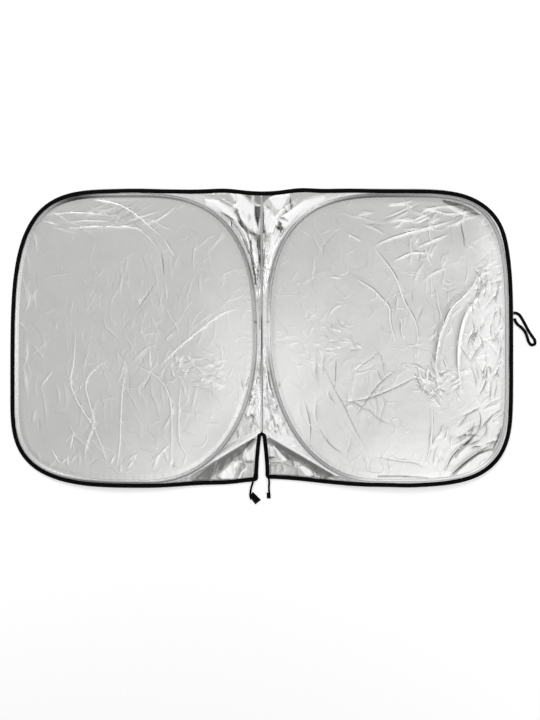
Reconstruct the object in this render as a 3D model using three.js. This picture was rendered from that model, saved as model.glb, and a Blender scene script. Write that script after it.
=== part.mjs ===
// Twist-fold windscreen sunshade, opened out and lying face up.
// Two sprung hoops stretch two half panels of silver-coated cloth that meet at a middle seam.
// Millimetres. X runs to the right along the long side, Y to the top edge, Z up from the surface it lies on.

import * as THREE from "three";

// Overall size and cloth
const OVERALL_WIDTH = 1500;
const OVERALL_HEIGHT = 890;
const CLOTH_THICKNESS = 0.5;
const SEWN_GAP = 0.3;

// Black tape that is folded over every raw edge
const TAPE_WIDTH = 11.5;
const TAPE_THICKNESS = 0.6;
const SLIT_TAPE_WIDTH = 10.5;
const EDGE_STEP = 34;
const EDGE_TURN = 15;
const HOOP_EDGE_START = 12;

// Hoops: round spring wire in a sewn-on casing, its ends joined by a crimped sleeve
const WIRE_DIAMETER = 2.6;
const WIRE_SIDES = 6;
const WIRE_END_GAP = 1;
const FERRULE_LENGTH = 24;
const FERRULE_WALL = 0.4;
const FERRULE_CLEARANCE = 0.25;
const FERRULE_SIDES = 12;
const CASING_WIDTH = 13;
const CASING_WALL = 0.5;
const CASING_MARGIN = 2;
const CASING_FOOT_SHARE = 0.82;
const CASING_CROWN_SHARE = 0.42;
const HOOP_STEP = 46;
const HOOP_TURN = 6.5;
const HOOP_TO_SEAM = 14;

// Each hoop is four superellipse quadrants between its top, outer, bottom and inner extremes.
// Distances are measured from the middle seam (X) and from the middle of the height (Y).
const LEFT_HOOP = {
  side: -1,
  topX: 372,
  outerY: -172,
  bottomX: 340,
  bottomRise: 0,
  innerY: -5,
  topOuter: 4.2,
  outerBottom: 3.35,
  bottomInner: 2.14,
  innerTop: 2.72,
};
const RIGHT_HOOP = {
  side: 1,
  topX: 385,
  outerY: -51,
  bottomX: 345,
  bottomRise: 3,
  innerY: 30,
  topOuter: 4.3,
  outerBottom: 4.35,
  bottomInner: 2.14,
  innerTop: 2.8,
};

// Top edge between the hoops, where the binding dips a little at the seam
const TOP_DIP = 6.5;
const TOP_DIP_REACH = 120;

// Mirror slit: its rounded apex and its two bound legs
const SLIT_APEX_Y = -290;
const SLIT_APEX_RADIUS = 2;
const SLIT_CORNER_RADIUS = 12.5;
const LEFT_LEG = { halfGap: 10.5, cornerY: -424.5, edgeRun: 110, hoopRun: 100 };
const RIGHT_LEG = { halfGap: 11, cornerY: -418.5, edgeRun: 110, hoopRun: 120 };

// Diagonal hems that run from the apex down to the hoops, and the flaps sewn beneath them
const HEM_TOP_Y = -283;
const LEFT_HEM_END = { x: 205, y: -405 };
const RIGHT_HEM_END = { x: 218, y: -409 };
const HEM_WIDTH = 10;
const HEM_STEP = 2;
const HEM_DOUBLED_FROM = 18;
const HEM_DOUBLED_TO = 108;
const FLAP_TUCK = 8;
const FLAP_TUCK_START = 34;
const FLAP_TUCK_END = 26;
const FLAP_TUCK_STEPS = 10;
const FLAP_CLEARANCE = 1.2;
const FLAP_FLOOR_GAP = 0.1;
const FLAP_END_X = 332;

// Tape over the middle seam
const SEAM_TAPE_WIDTH = 7;
const SEAM_STEP = 28;

// Where the rim stands clear of the surface, each a smooth swell
const RIM_LIFTS = [
  { at: [430, -445], reach: 380, rise: 8 },
  { at: [-420, -445], reach: 330, rise: 6 },
  { at: [-430, 445], reach: 330, rise: 5 },
  { at: [430, 445], reach: 330, rise: 5 },
];

// Folds in the cloth: a ridge line, how high it stands and how wide it is at its foot
const LEFT_FOLDS = [
  { height: 5, width: 18, line: [[-503, 398], [-426, 388], [-369, 362], [-333, 332], [-303, 300]] },
  { height: 4, width: 18, line: [[-622, 327], [-500, 330], [-384, 326], [-320, 272]] },
  { height: 4, width: 16, line: [[-643, 366], [-560, 371], [-440, 352]] },
  { height: 4, width: 16, line: [[-294, 262], [-290, 189]] },
  { height: 5, width: 18, line: [[-77, 88], [-127, 67], [-220, -4], [-297, -76]] },
  { height: 4, width: 18, line: [[-554, 25], [-569, -133], [-503, -261], [-458, -380]] },
  { height: 4, width: 16, line: [[-402, -76], [-416, -145], [-423, -315], [-420, -380]] },
  { height: 4, width: 16, line: [[-380, -84], [-297, -130], [-268, -261], [-271, -345]] },
  { height: 3, width: 16, line: [[-318, 165], [-375, 82]] },
  { height: 7, width: 26, line: [[-16, 190], [-28, 260], [-66, 340], [-112, 414]] },
  { height: 5, width: 18, line: [[-18, 300], [-26, 350], [-40, 412]] },
  { height: 6, width: 20, line: [[-17, -120], [-30, -190], [-76, -285]] },
  { height: 4, width: 14, line: [[-15, -215], [-24, -262]] },
];
const RIGHT_FOLDS = [
  { height: 5, width: 18, line: [[332, 262], [394, 189], [457, 49], [466, -4]] },
  { height: 4, width: 18, line: [[345, 284], [451, 318], [567, 350]] },
  { height: 4, width: 16, line: [[281, 177], [353, 124], [382, 49], [397, -4]] },
  { height: 9, width: 30, line: [[567, -139], [523, -40], [529, -4], [567, 91], [642, 174], [680, 222]] },
  { height: 9, width: 28, line: [[606, -154], [590, -40], [606, 67], [642, 118], [690, 160]] },
  { height: 6, width: 16, line: [[543, 388], [606, 384], [652, 362]] },
  { height: 3, width: 16, line: [[245, -201], [311, -180], [382, -154], [466, -112]] },
  { height: 3, width: 16, line: [[180, -73], [218, -154], [272, -258], [311, -332]] },
  { height: 6, width: 18, line: [[560, -384], [620, -346], [676, -322]] },
  { height: 5, width: 18, line: [[536, -372], [573, -320], [642, -270]] },
  { height: 4, width: 16, line: [[508, -204], [505, -303], [490, -374]] },
  { height: 7, width: 26, line: [[16, 200], [32, 270], [70, 345], [128, 412]] },
  { height: 5, width: 18, line: [[18, 310], [30, 360], [42, 408]] },
  { height: 6, width: 20, line: [[18, -120], [32, -190], [80, -285]] },
  { height: 4, width: 14, line: [[16, -215], [27, -262]] },
];
const FLAP_FOLDS = [
  { height: 5, width: 16, line: [[50, -330], [58, -395]] },
  { height: 4, width: 16, line: [[100, -362], [112, -408]] },
  { height: 4, width: 16, line: [[160, -392], [176, -415]] },
];
const FOLD_STEP = 26;
const FOLD_MARGIN = 9;
const FILL_STEP = 62;
const LEAST_SPACING = 8;

// Elastic loop that holds the shade when it is folded, sewn into the right-hand edge
const LOOP_WIDTH = 7;
const LOOP_THICKNESS = 1.4;
const LOOP_ROUTE = [
  [750.4, 76, 2], [758, 75.6, 1.8], [766, 72, 1.2], [773, 64, 1], [781, 50, 1], [788, 37, 1], [796, 22, 1],
  [806, 7, 1], [814, -5, 1], [814, -16, 1.2], [804, -19, 1.8], [796, -10, 2.4], [791, 5, 3], [785, 20, 3.4],
  [775, 32, 3], [764, 41, 2.2], [757, 50, 1.6], [754, 60, 1.6],
];

// Ties that start at the apex of the slit, lie on its taped legs and hang past the bottom edge
const TIE_WIDTH = 4.6;
const TIE_THICKNESS = 1.2;
const LEFT_TIE_ROUTE = [
  [-5, -294, 3.3], [-9, -310, 3.3], [-13, -330, 3.3], [-14, -350, 3.3], [-15, -372, 3.3], [-18, -390, 3.3],
  [-21, -405, 3.3], [-24, -418, 3.4], [-27, -430, 2.9], [-30, -443, 1.2], [-32, -458, 1],
];
const RIGHT_TIE_ROUTE = [
  [5, -294, 3.3], [8, -312, 3.3], [10, -333, 3.3], [12, -352, 3.3], [14, -372, 3.3], [16, -390, 3.3],
  [18, -405, 3.4], [21, -418, 3.4], [22, -430, 2.2], [21.5, -444, 1], [22, -460, 1],
];
const LEFT_TAB_CORNERS = [[-26, -458.8], [-1.9, -481], [-19.2, -494.7], [-35.6, -472], [-36, -458.8]];
const RIGHT_TAB_CORNERS = [[14.5, -460.8], [26, -460.8], [27, -477], [15, -477]];
const TAB_THICKNESS = 2.2;

const BAND_HEIGHT = TAPE_THICKNESS + SEWN_GAP;
const CLOTH_TOP = BAND_HEIGHT + CLOTH_THICKNESS;
const TAPE_HEIGHT = CLOTH_TOP + SEWN_GAP + TAPE_THICKNESS;
const HOOP_INSET = TAPE_WIDTH + SEWN_GAP + CASING_WIDTH / 2;
const CLOTH_INSET = TAPE_THICKNESS + SEWN_GAP;
const FERRULE_BORE = WIRE_DIAMETER + 2 * FERRULE_CLEARANCE;
const FERRULE_DIAMETER = FERRULE_BORE + 2 * FERRULE_WALL;
const WIRE_HEIGHT = CLOTH_TOP + SEWN_GAP + FERRULE_DIAMETER / 2;
const CASING_BAND = CASING_WIDTH / 2 + CASING_MARGIN;
const RIM_BAND = TAPE_WIDTH * 1.6;

/** How far the cloth stands above its flat lie at a place. */
function lift(x, y) {
  return RIM_LIFTS.reduce((sum, { at, reach, rise }) => {
    const distance = Math.hypot(x - at[0], y - at[1]);
    return distance < reach ? sum + (rise / 2) * (1 + Math.cos((Math.PI * distance) / reach)) : sum;
  }, 0);
}

/** Points of a superellipse quadrant from one extreme to the next, where the tangent starts level or upright. */
function quadrant(from, to, exponent, startsLevel, count = 160) {
  return Array.from({ length: count }, (_, i) => {
    const angle = (Math.PI / 2) * (i / count);
    const falling = Math.cos(angle) ** (2 / exponent);
    const rising = Math.sin(angle) ** (2 / exponent);
    const x = startsLevel ? from[0] + (to[0] - from[0]) * rising : to[0] + (from[0] - to[0]) * falling;
    const y = startsLevel ? to[1] + (from[1] - to[1]) * falling : from[1] + (to[1] - from[1]) * rising;
    return [x, y];
  });
}

/** The extremes of a hoop's wire line. */
function hoopExtremes(hoop) {
  const halfHeight = OVERALL_HEIGHT / 2 - HOOP_INSET;
  return {
    top: [hoop.side * hoop.topX, halfHeight],
    outer: [hoop.side * (OVERALL_WIDTH / 2 - HOOP_INSET), hoop.outerY],
    bottom: [hoop.side * hoop.bottomX, hoop.bottomRise - halfHeight],
    inner: [hoop.side * (HOOP_TO_SEAM + CASING_WIDTH / 2), hoop.innerY],
  };
}

/** The hoop's closed wire line, from its bottom round the outer side and back along the inner side. */
function hoopLine(hoop) {
  const { top, outer, bottom, inner } = hoopExtremes(hoop);
  return [
    ...quadrant(bottom, outer, hoop.outerBottom, true),
    ...quadrant(outer, top, hoop.topOuter, false),
    ...quadrant(top, inner, hoop.innerTop, true),
    ...quadrant(inner, bottom, hoop.bottomInner, false),
  ];
}

/** Gives each point of a line its unit normal to the right of the direction of travel. */
function withNormals(line, closed) {
  const last = line.length - 1;
  return line.map(([x, y], i) => {
    const before = line[i === 0 ? (closed ? last : 0) : i - 1];
    const after = line[i === last ? (closed ? 0 : last) : i + 1];
    const dx = after[0] - before[0];
    const dy = after[1] - before[1];
    const length = Math.hypot(dx, dy);
    return { x, y, nx: dy / length, ny: -dx / length };
  });
}

/** Moves each station along its normal. */
function offset(stations, distance) {
  return stations.map(({ x, y, nx, ny }) => [x + nx * distance, y + ny * distance]);
}

/** Thins a dense line to stations no further apart than a step and a turn. */
function thinned(line, step, turn) {
  const dense = withNormals(line, false);
  const kept = [dense[0]];
  let travelled = step / 2;
  for (let i = 1; i < dense.length - 1; i++) {
    travelled += Math.hypot(dense[i].x - dense[i - 1].x, dense[i].y - dense[i - 1].y);
    const last = kept[kept.length - 1];
    const bend = Math.acos(Math.min(1, dense[i].nx * last.nx + dense[i].ny * last.ny));
    if (travelled >= step || bend >= turn) {
      kept.push(dense[i]);
      travelled = 0;
    }
  }
  kept.push(dense[dense.length - 1]);
  return kept;
}

/** Stations of a hoop's closed wire line, with its joint in the middle of the span across the start. */
function hoopStations(hoop) {
  const line = hoopLine(hoop);
  const stations = thinned([...line, line[0]], HOOP_STEP, THREE.MathUtils.degToRad(HOOP_TURN)).slice(1, -1);
  const last = stations[stations.length - 1];
  const crowded = Math.hypot(last.x - line[0][0], last.y - line[0][1]) < HOOP_STEP / 3;
  return crowded ? stations.slice(0, -1) : stations;
}

/** Points along a cubic curve. */
function cubic(points, count = 60) {
  const [from, near, far, to] = points.map(([x, y]) => new THREE.Vector2(x, y));
  return new THREE.CubicBezierCurve(from, near, far, to).getPoints(count).map(({ x, y }) => [x, y]);
}

/** Points along an arc, with angles in degrees. */
function arc(centre, radius, fromDegrees, toDegrees, count = 12) {
  return Array.from({ length: count + 1 }, (_, i) => {
    const angle = THREE.MathUtils.degToRad(fromDegrees + ((toDegrees - fromDegrees) * i) / count);
    return [centre[0] + radius * Math.cos(angle), centre[1] + radius * Math.sin(angle)];
  });
}

/** One side of the outer edge: the slit's half from its apex, and the rim on to the top of the seam. */
function edgeStations(hoop, leg, stations) {
  const { side } = hoop;
  const apex = arc([0, SLIT_APEX_Y - SLIT_APEX_RADIUS], SLIT_APEX_RADIUS, 90, side < 0 ? 180 : 0, 6);
  const legTop = apex[apex.length - 1];
  const cornerCentre = [side * (leg.halfGap + SLIT_CORNER_RADIUS), leg.cornerY + SLIT_CORNER_RADIUS];
  const legBottom = [side * leg.halfGap, cornerCentre[1] + SEWN_GAP];
  const legLength = legTop[1] - legBottom[1];
  const legLine = cubic([
    legTop,
    [side * (leg.halfGap * 0.6), legTop[1] - legLength * 0.35],
    [side * leg.halfGap, legTop[1] - legLength * 0.7],
    legBottom,
  ]);
  const corner = arc(cornerCentre, SLIT_CORNER_RADIUS, side < 0 ? 0 : 180, side < 0 ? -90 : 270);
  const { bottom, top } = hoopExtremes(hoop);
  const cornerEnd = corner[corner.length - 1];
  const hoopStart = [bottom[0], bottom[1] - HOOP_INSET];
  const flapEdge = cubic([
    cornerEnd,
    [cornerEnd[0] + side * leg.edgeRun, cornerEnd[1] - 3],
    [hoopStart[0] - side * leg.hoopRun, hoopStart[1]],
    hoopStart,
  ]);
  const onOuterSide = ({ x, y }) => Math.abs(x) > Math.abs(y > hoop.outerY ? top[0] : bottom[0]) + HOOP_EDGE_START;
  const hoopEdge = stations.filter(onOuterSide).map((station) => {
    const [x, y] = offset([station], side * HOOP_INSET)[0];
    return { ...station, x, y };
  });
  const topStart = [top[0], OVERALL_HEIGHT / 2];
  const dipY = OVERALL_HEIGHT / 2 - TOP_DIP;
  const bridge = cubic([topStart, [side * TOP_DIP_REACH, topStart[1]], [side * TOP_DIP_REACH / 2, dipY], [0, dipY]]);
  const turn = THREE.MathUtils.degToRad(EDGE_TURN);
  const upright = { nx: -1, ny: 0 };
  const slit = thinned([...apex, ...legLine.slice(1)], EDGE_STEP, turn);
  const lower = thinned([...corner, ...flapEdge.slice(1)], EDGE_STEP, turn);
  slit[slit.length - 1] = { ...slit[slit.length - 1], ...upright };
  lower[0] = { ...lower[0], ...upright };
  return { slit, rim: [...lower, ...hoopEdge, ...thinned(bridge, EDGE_STEP, turn)] };
}

/** A closed body from vertices and triangles, turned so that its faces point out. */
function body(vertices, faces) {
  const volume = faces.reduce((sum, [a, b, c]) => {
    const [ax, ay, az] = vertices[a];
    const [bx, by, bz] = vertices[b];
    const [cx, cy, cz] = vertices[c];
    return sum + ax * (by * cz - bz * cy) + ay * (bz * cx - bx * cz) + az * (bx * cy - by * cx);
  }, 0);
  const outward = volume > 0 ? faces : faces.map(([a, b, c]) => [a, c, b]);
  const geometry = new THREE.BufferGeometry();
  geometry.setAttribute("position", new THREE.Float32BufferAttribute(vertices.flat(), 3));
  geometry.setIndex(outward.flat());
  geometry.computeVertexNormals();
  return geometry;
}

/** Triangles between neighbouring rings of equal size. */
function ringFaces(rings, size, closed) {
  const faces = [];
  const spans = closed ? rings : rings - 1;
  for (let i = 0; i < spans; i++) {
    const here = i * size;
    const next = ((i + 1) % rings) * size;
    for (let k = 0; k < size; k++) {
      const after = (k + 1) % size;
      faces.push([here + k, next + k, next + after], [here + k, next + after, here + after]);
    }
  }
  return faces;
}

/** Sweeps a section, given as distance along the normal and height, through the stations of a line. */
function sweep(stations, section, closed) {
  const vertices = stations.flatMap(({ x, y, nx, ny }) =>
    section.map(([across, up]) => {
      const vx = x + nx * across;
      const vy = y + ny * across;
      return [vx, vy, up + lift(vx, vy)];
    }),
  );
  const faces = ringFaces(stations.length, section.length, closed);
  if (!closed) {
    const contour = section.map(([across, up]) => new THREE.Vector2(across, up));
    const start = (stations.length - 1) * section.length;
    for (const [a, b, c] of THREE.ShapeUtils.triangulateShape(contour, [])) {
      const anticlockwise = THREE.ShapeUtils.isClockWise(contour) ? [c, b, a] : [a, b, c];
      faces.push(anticlockwise, [...anticlockwise].reverse().map((corner) => corner + start));
    }
  }
  return body(vertices, faces);
}

/** Tape folded over an edge: closed along the edge, open towards the cloth. */
function foldedTapeSection(width) {
  const slotBottom = TAPE_THICKNESS;
  const slotTop = TAPE_HEIGHT - TAPE_THICKNESS;
  return [
    [0, 0],
    [width, 0],
    [width, slotBottom],
    [TAPE_THICKNESS, slotBottom],
    [TAPE_THICKNESS, slotTop],
    [width, slotTop],
    [width, TAPE_HEIGHT],
    [0, TAPE_HEIGHT],
  ];
}

/** Casing over the wire: a flange on each side and an arch between them. */
function casingSection() {
  const foot = CLOTH_TOP + SEWN_GAP;
  const inside = FERRULE_DIAMETER + SEWN_GAP;
  const halfFoot = FERRULE_DIAMETER * CASING_FOOT_SHARE;
  const halfCrown = FERRULE_DIAMETER * CASING_CROWN_SHARE;
  const half = CASING_WIDTH / 2;
  return [
    [-half, foot],
    [-halfFoot, foot],
    [-halfCrown, foot + inside],
    [halfCrown, foot + inside],
    [halfFoot, foot],
    [half, foot],
    [half, foot + CASING_WALL],
    [halfFoot + CASING_WALL, foot + CASING_WALL],
    [halfCrown + CASING_WALL / 2, foot + inside + CASING_WALL],
    [-halfCrown - CASING_WALL / 2, foot + inside + CASING_WALL],
    [-halfFoot - CASING_WALL, foot + CASING_WALL],
    [-half, foot + CASING_WALL],
  ];
}

/** Round section about the height of the wire. */
function roundSection(diameter, sides) {
  return Array.from({ length: sides }, (_, i) => {
    const angle = (2 * Math.PI * (i + 0.5)) / sides;
    return [(diameter / 2) * Math.cos(angle), WIRE_HEIGHT + (diameter / 2) * Math.sin(angle)];
  });
}

/** The middle of the span between the last and the first station, where the wire's ends meet. */
function joint(stations) {
  const first = stations[0];
  const last = stations[stations.length - 1];
  const length = Math.hypot(first.x - last.x, first.y - last.y);
  const along = [(first.x - last.x) / length, (first.y - last.y) / length];
  return (distance) => ({
    x: (first.x + last.x) / 2 + along[0] * distance,
    y: (first.y + last.y) / 2 + along[1] * distance,
    nx: along[1],
    ny: -along[0],
  });
}

/** Wire whose two ends meet inside the ferrule. */
function wireGeometry(stations) {
  const end = joint(stations);
  const open = [end(WIRE_END_GAP / 2), ...stations, end(-WIRE_END_GAP / 2)];
  return sweep(open, roundSection(WIRE_DIAMETER, WIRE_SIDES), false);
}

/** Crimped sleeve round the two ends of the wire, a straight tube. */
function ferruleGeometry(stations) {
  const end = joint(stations);
  const ends = [end(-FERRULE_LENGTH / 2), end(FERRULE_LENGTH / 2)];
  const outer = roundSection(FERRULE_DIAMETER, FERRULE_SIDES);
  const bore = roundSection(FERRULE_BORE, FERRULE_SIDES);
  const rings = [
    [ends[0], outer],
    [ends[1], outer],
    [ends[1], bore],
    [ends[0], bore],
  ];
  const vertices = rings.flatMap(([{ x, y, nx, ny }, section]) =>
    section.map(([across, up]) => [x + nx * across, y + ny * across, up + lift(x, y)]),
  );
  return body(vertices, ringFaces(rings.length, FERRULE_SIDES, true));
}

/** Delaunay triangles of points in the plane, anticlockwise. */
function triangulate(points) {
  const far = 2e5;
  const nudge = 1e-4;
  const count = points.length;
  const spread = points.map(([x, y], i) => [x + nudge * Math.sin(i * 12.9), y + nudge * Math.sin(i * 78.2)]);
  spread.push([-far, -far], [far, -far], [0, far]);
  const around = (a, b, c) => {
    const [ax, ay] = spread[a];
    const bx = spread[b][0] - ax;
    const by = spread[b][1] - ay;
    const cx = spread[c][0] - ax;
    const cy = spread[c][1] - ay;
    const twice = 2 * (bx * cy - by * cx);
    const ux = (cy * (bx * bx + by * by) - by * (cx * cx + cy * cy)) / twice;
    const uy = (bx * (cx * cx + cy * cy) - cx * (bx * bx + by * by)) / twice;
    return { corners: [a, b, c], x: ax + ux, y: ay + uy, square: ux * ux + uy * uy };
  };
  let triangles = [around(count, count + 1, count + 2)];
  for (let i = 0; i < count; i++) {
    const [x, y] = spread[i];
    const rim = new Map();
    const kept = [];
    for (const triangle of triangles) {
      if ((x - triangle.x) ** 2 + (y - triangle.y) ** 2 >= triangle.square) {
        kept.push(triangle);
        continue;
      }
      const [a, b, c] = triangle.corners;
      for (const [from, to] of [[a, b], [b, c], [c, a]]) {
        if (!rim.delete(`${to} ${from}`)) {
          rim.set(`${from} ${to}`, [from, to]);
        }
      }
    }
    for (const [from, to] of rim.values()) {
      kept.push(around(from, to, i));
    }
    triangles = kept;
  }
  return triangles.map(({ corners }) => corners).filter((corners) => corners.every((corner) => corner < count));
}

/** Whether a point lies inside an outline. */
function inside([x, y], outline) {
  let within = false;
  outline.forEach(([ax, ay], i) => {
    const [bx, by] = outline[(i + 1) % outline.length];
    if (ay > y !== by > y && x < ((bx - ax) * (y - ay)) / (by - ay) + ax) {
      within = !within;
    }
  });
  return within;
}

/** How far a point lies from a line. */
function distanceTo(line, [x, y]) {
  let least = Infinity;
  for (let i = 1; i < line.length; i++) {
    const [ax, ay] = line[i - 1];
    const dx = line[i][0] - ax;
    const dy = line[i][1] - ay;
    const share = Math.max(0, Math.min(1, ((x - ax) * dx + (y - ay) * dy) / (dx * dx + dy * dy)));
    least = Math.min(least, Math.hypot(x - ax - share * dx, y - ay - share * dy));
  }
  return least;
}

/** A piece of cloth: an outline, points inside it, and the height of its underside at each. */
class Cloth {
  constructor(outline) {
    this.outline = outline.map(({ at }) => at);
    this.points = [...outline];
  }

  /** Adds a point unless it is outside or crowds one that is there. */
  add(at, height, extra = 0, spacing = LEAST_SPACING) {
    const crowded = this.points.some((point) => Math.hypot(point.at[0] - at[0], point.at[1] - at[1]) < spacing);
    if (!crowded && inside(at, this.outline)) {
      this.points.push({ at, height, extra });
    }
  }

  /** Adds ridge points on each fold and foot points on both sides of it, clear of what is sewn flat. */
  addFolds(folds, heightAt, isFree) {
    for (const { line, height, width } of folds) {
      const curve = new THREE.SplineCurve(line.map(([x, y]) => new THREE.Vector2(x, y)));
      const steps = Math.max(2, Math.round(curve.getLength() / FOLD_STEP));
      const ridge = withNormals(curve.getSpacedPoints(steps).map(({ x, y }) => [x, y]), false);
      ridge.forEach(({ x, y, nx, ny }, i) => {
        const ends = i === 0 || i === steps || !isFree([x, y]);
        this.add([x, y], heightAt([x, y]) + (ends ? 0 : height), 0, width / 3);
        for (const across of ends ? [] : [-width / 2, width / 2]) {
          const foot = [x + nx * across, y + ny * across];
          this.add(foot, heightAt(foot), 0, width / 3);
        }
      });
    }
  }

  /** Fills what is left with an even spread of points. */
  fill(heightAt) {
    const xs = this.outline.map(([x]) => x);
    const ys = this.outline.map(([, y]) => y);
    const rowStep = (FILL_STEP * Math.sqrt(3)) / 2;
    for (let row = 0; Math.min(...ys) + row * rowStep < Math.max(...ys); row++) {
      const y = Math.min(...ys) + row * rowStep;
      for (let x = Math.min(...xs) + (row % 2) * (FILL_STEP / 2); x < Math.max(...xs); x += FILL_STEP) {
        this.add([x, y], heightAt([x, y]), 0, FILL_STEP * 0.45);
      }
    }
  }

  /** The closed body between the underside and the top of the cloth. */
  geometry() {
    const leastArea = 0.02;
    const triangles = triangulate(this.points.map(({ at }) => at)).filter((corners) => {
      const [[ax, ay], [bx, by], [cx, cy]] = corners.map((corner) => this.points[corner].at);
      const area = ((bx - ax) * (cy - ay) - (by - ay) * (cx - ax)) / 2;
      return area > leastArea && inside([(ax + bx + cx) / 3, (ay + by + cy) / 3], this.outline);
    });
    const count = this.points.length;
    const lower = this.points.map(({ at, height }) => [...at, height + lift(...at)]);
    const upper = this.points.map(({ extra }, i) => [lower[i][0], lower[i][1], lower[i][2] + CLOTH_THICKNESS + extra]);
    const edges = new Map();
    for (const [a, b, c] of triangles) {
      for (const [from, to] of [[a, b], [b, c], [c, a]]) {
        if (!edges.delete(`${to} ${from}`)) {
          edges.set(`${from} ${to}`, [from, to]);
        }
      }
    }
    const faces = triangles.flatMap(([a, b, c]) => [[a + count, b + count, c + count], [a, c, b]]);
    for (const [from, to] of edges.values()) {
      faces.push([from, to, to + count], [from, to + count, from + count]);
    }
    return body([...lower, ...upper], faces);
  }
}

/** The hem's lower edge at a distance from the seam. */
function hemY({ end }, distance) {
  return HEM_TOP_Y + ((end.y - HEM_TOP_Y) * distance) / end.x;
}

/** Stations of one side's hoop, slit and rim, with the lower edge that the panel and the flap share. */
function sideLayout(hoop, leg, end) {
  const { side } = hoop;
  const stations = hoopStations(hoop);
  const wireLine = withNormals(hoopLine(hoop), true);
  const hemSteps = 17;
  const hem = Array.from({ length: hemSteps }, (_, i) => {
    const distance = (end.x * (i + 1)) / hemSteps;
    return [side * distance, hemY({ end }, distance)];
  });
  const underHoop = offset(wireLine, side * CASING_BAND)
    .filter(([x, y]) => y < end.y && Math.abs(x) > end.x + 8 && Math.abs(x) < FLAP_END_X - 6)
    .filter((_, i) => i % 5 === 0);
  return { hoop, end, stations, wireLine, hem, underHoop, ...edgeStations(hoop, leg, stations) };
}

/** The cloth's edge inside the folded tape. */
function clothEdge(stations, side) {
  return offset(stations, -side * CLOTH_INSET);
}

/** Half panel: one disc with its share of the web between the hoops, hemmed above the flap. */
function panelGeometry({ hoop, rim, stations, wireLine, hem, underHoop }, folds) {
  const { side } = hoop;
  const top = hoopExtremes(hoop).top[0];
  const band = (at, extra = 0) => ({ at, height: BAND_HEIGHT, extra });
  const rimEdge = clothEdge(rim, side);
  const edge = rimEdge.filter(([x, y]) => y > 0 || Math.abs(x) > FLAP_END_X + 12);
  const seamTop = edge[edge.length - 1][1];
  edge[edge.length - 1] = [side * SEWN_GAP / 2, seamTop];
  const seamSteps = Math.round((seamTop - HEM_TOP_Y) / SEAM_STEP);
  const seam = Array.from({ length: seamSteps }, (_, i) => [
    side * SEWN_GAP / 2,
    seamTop + ((HEM_TOP_Y - seamTop) * (i + 1)) / seamSteps,
  ]);
  const doubled = ([x]) => Math.abs(x) > HEM_DOUBLED_FROM && Math.abs(x) < HEM_DOUBLED_TO;
  const hemExtra = (at) => (doubled(at) ? CLOTH_THICKNESS : 0);
  const cloth = new Cloth([
    ...edge.map((at) => band(at)),
    ...seam.map((at) => band(at)),
    ...hem.map((at) => band(at, hemExtra(at))),
    ...underHoop.map((at) => band(at)),
  ]);
  for (const [inward, thick] of [[HEM_WIDTH, true], [HEM_WIDTH + HEM_STEP, false]]) {
    offset(withNormals(hem, false), -side * inward)
      .slice(1, -1)
      .filter(doubled)
      .forEach((at) => cloth.add(at, BAND_HEIGHT, thick ? CLOTH_THICKNESS : 0, HEM_STEP * 0.7));
  }
  const halfway = stations.slice(1).map((station, i) => ({
    x: (station.x + stations[i].x) / 2,
    y: (station.y + stations[i].y) / 2,
    nx: (station.nx + stations[i].nx) / 2,
    ny: (station.ny + stations[i].ny) / 2,
  }));
  for (const across of [-side * CASING_BAND, side * CASING_BAND]) {
    for (const at of [...offset(stations, across), ...offset(halfway, across)]) {
      if (distanceTo(rimEdge, at) > RIM_BAND) {
        cloth.add(at, BAND_HEIGHT);
      }
    }
  }
  seam.slice(0, -1).forEach(([x, y]) => cloth.add([x + side * SEAM_TAPE_WIDTH, y], BAND_HEIGHT, 0, 5));
  offset(rim, -side * RIM_BAND)
    .filter(([x, y]) => Math.abs(x) < Math.abs(top) && y > 0)
    .forEach((at) => cloth.add(at, BAND_HEIGHT, 0, 11));
  const wireLoop = wireLine.map(({ x, y }) => [x, y]);
  const closedLoop = [...wireLoop, wireLoop[0]];
  const heightAt = (at) => (inside(at, wireLoop) ? 0 : BAND_HEIGHT);
  const isFree = (at) =>
    distanceTo(closedLoop, at) > CASING_BAND + FOLD_MARGIN &&
    distanceTo(rimEdge, at) > RIM_BAND + FOLD_MARGIN &&
    Math.abs(at[0]) > SEAM_TAPE_WIDTH + FOLD_MARGIN / 2;
  cloth.addFolds(folds, heightAt, isFree);
  cloth.fill(heightAt);
  return cloth.geometry();
}

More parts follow.
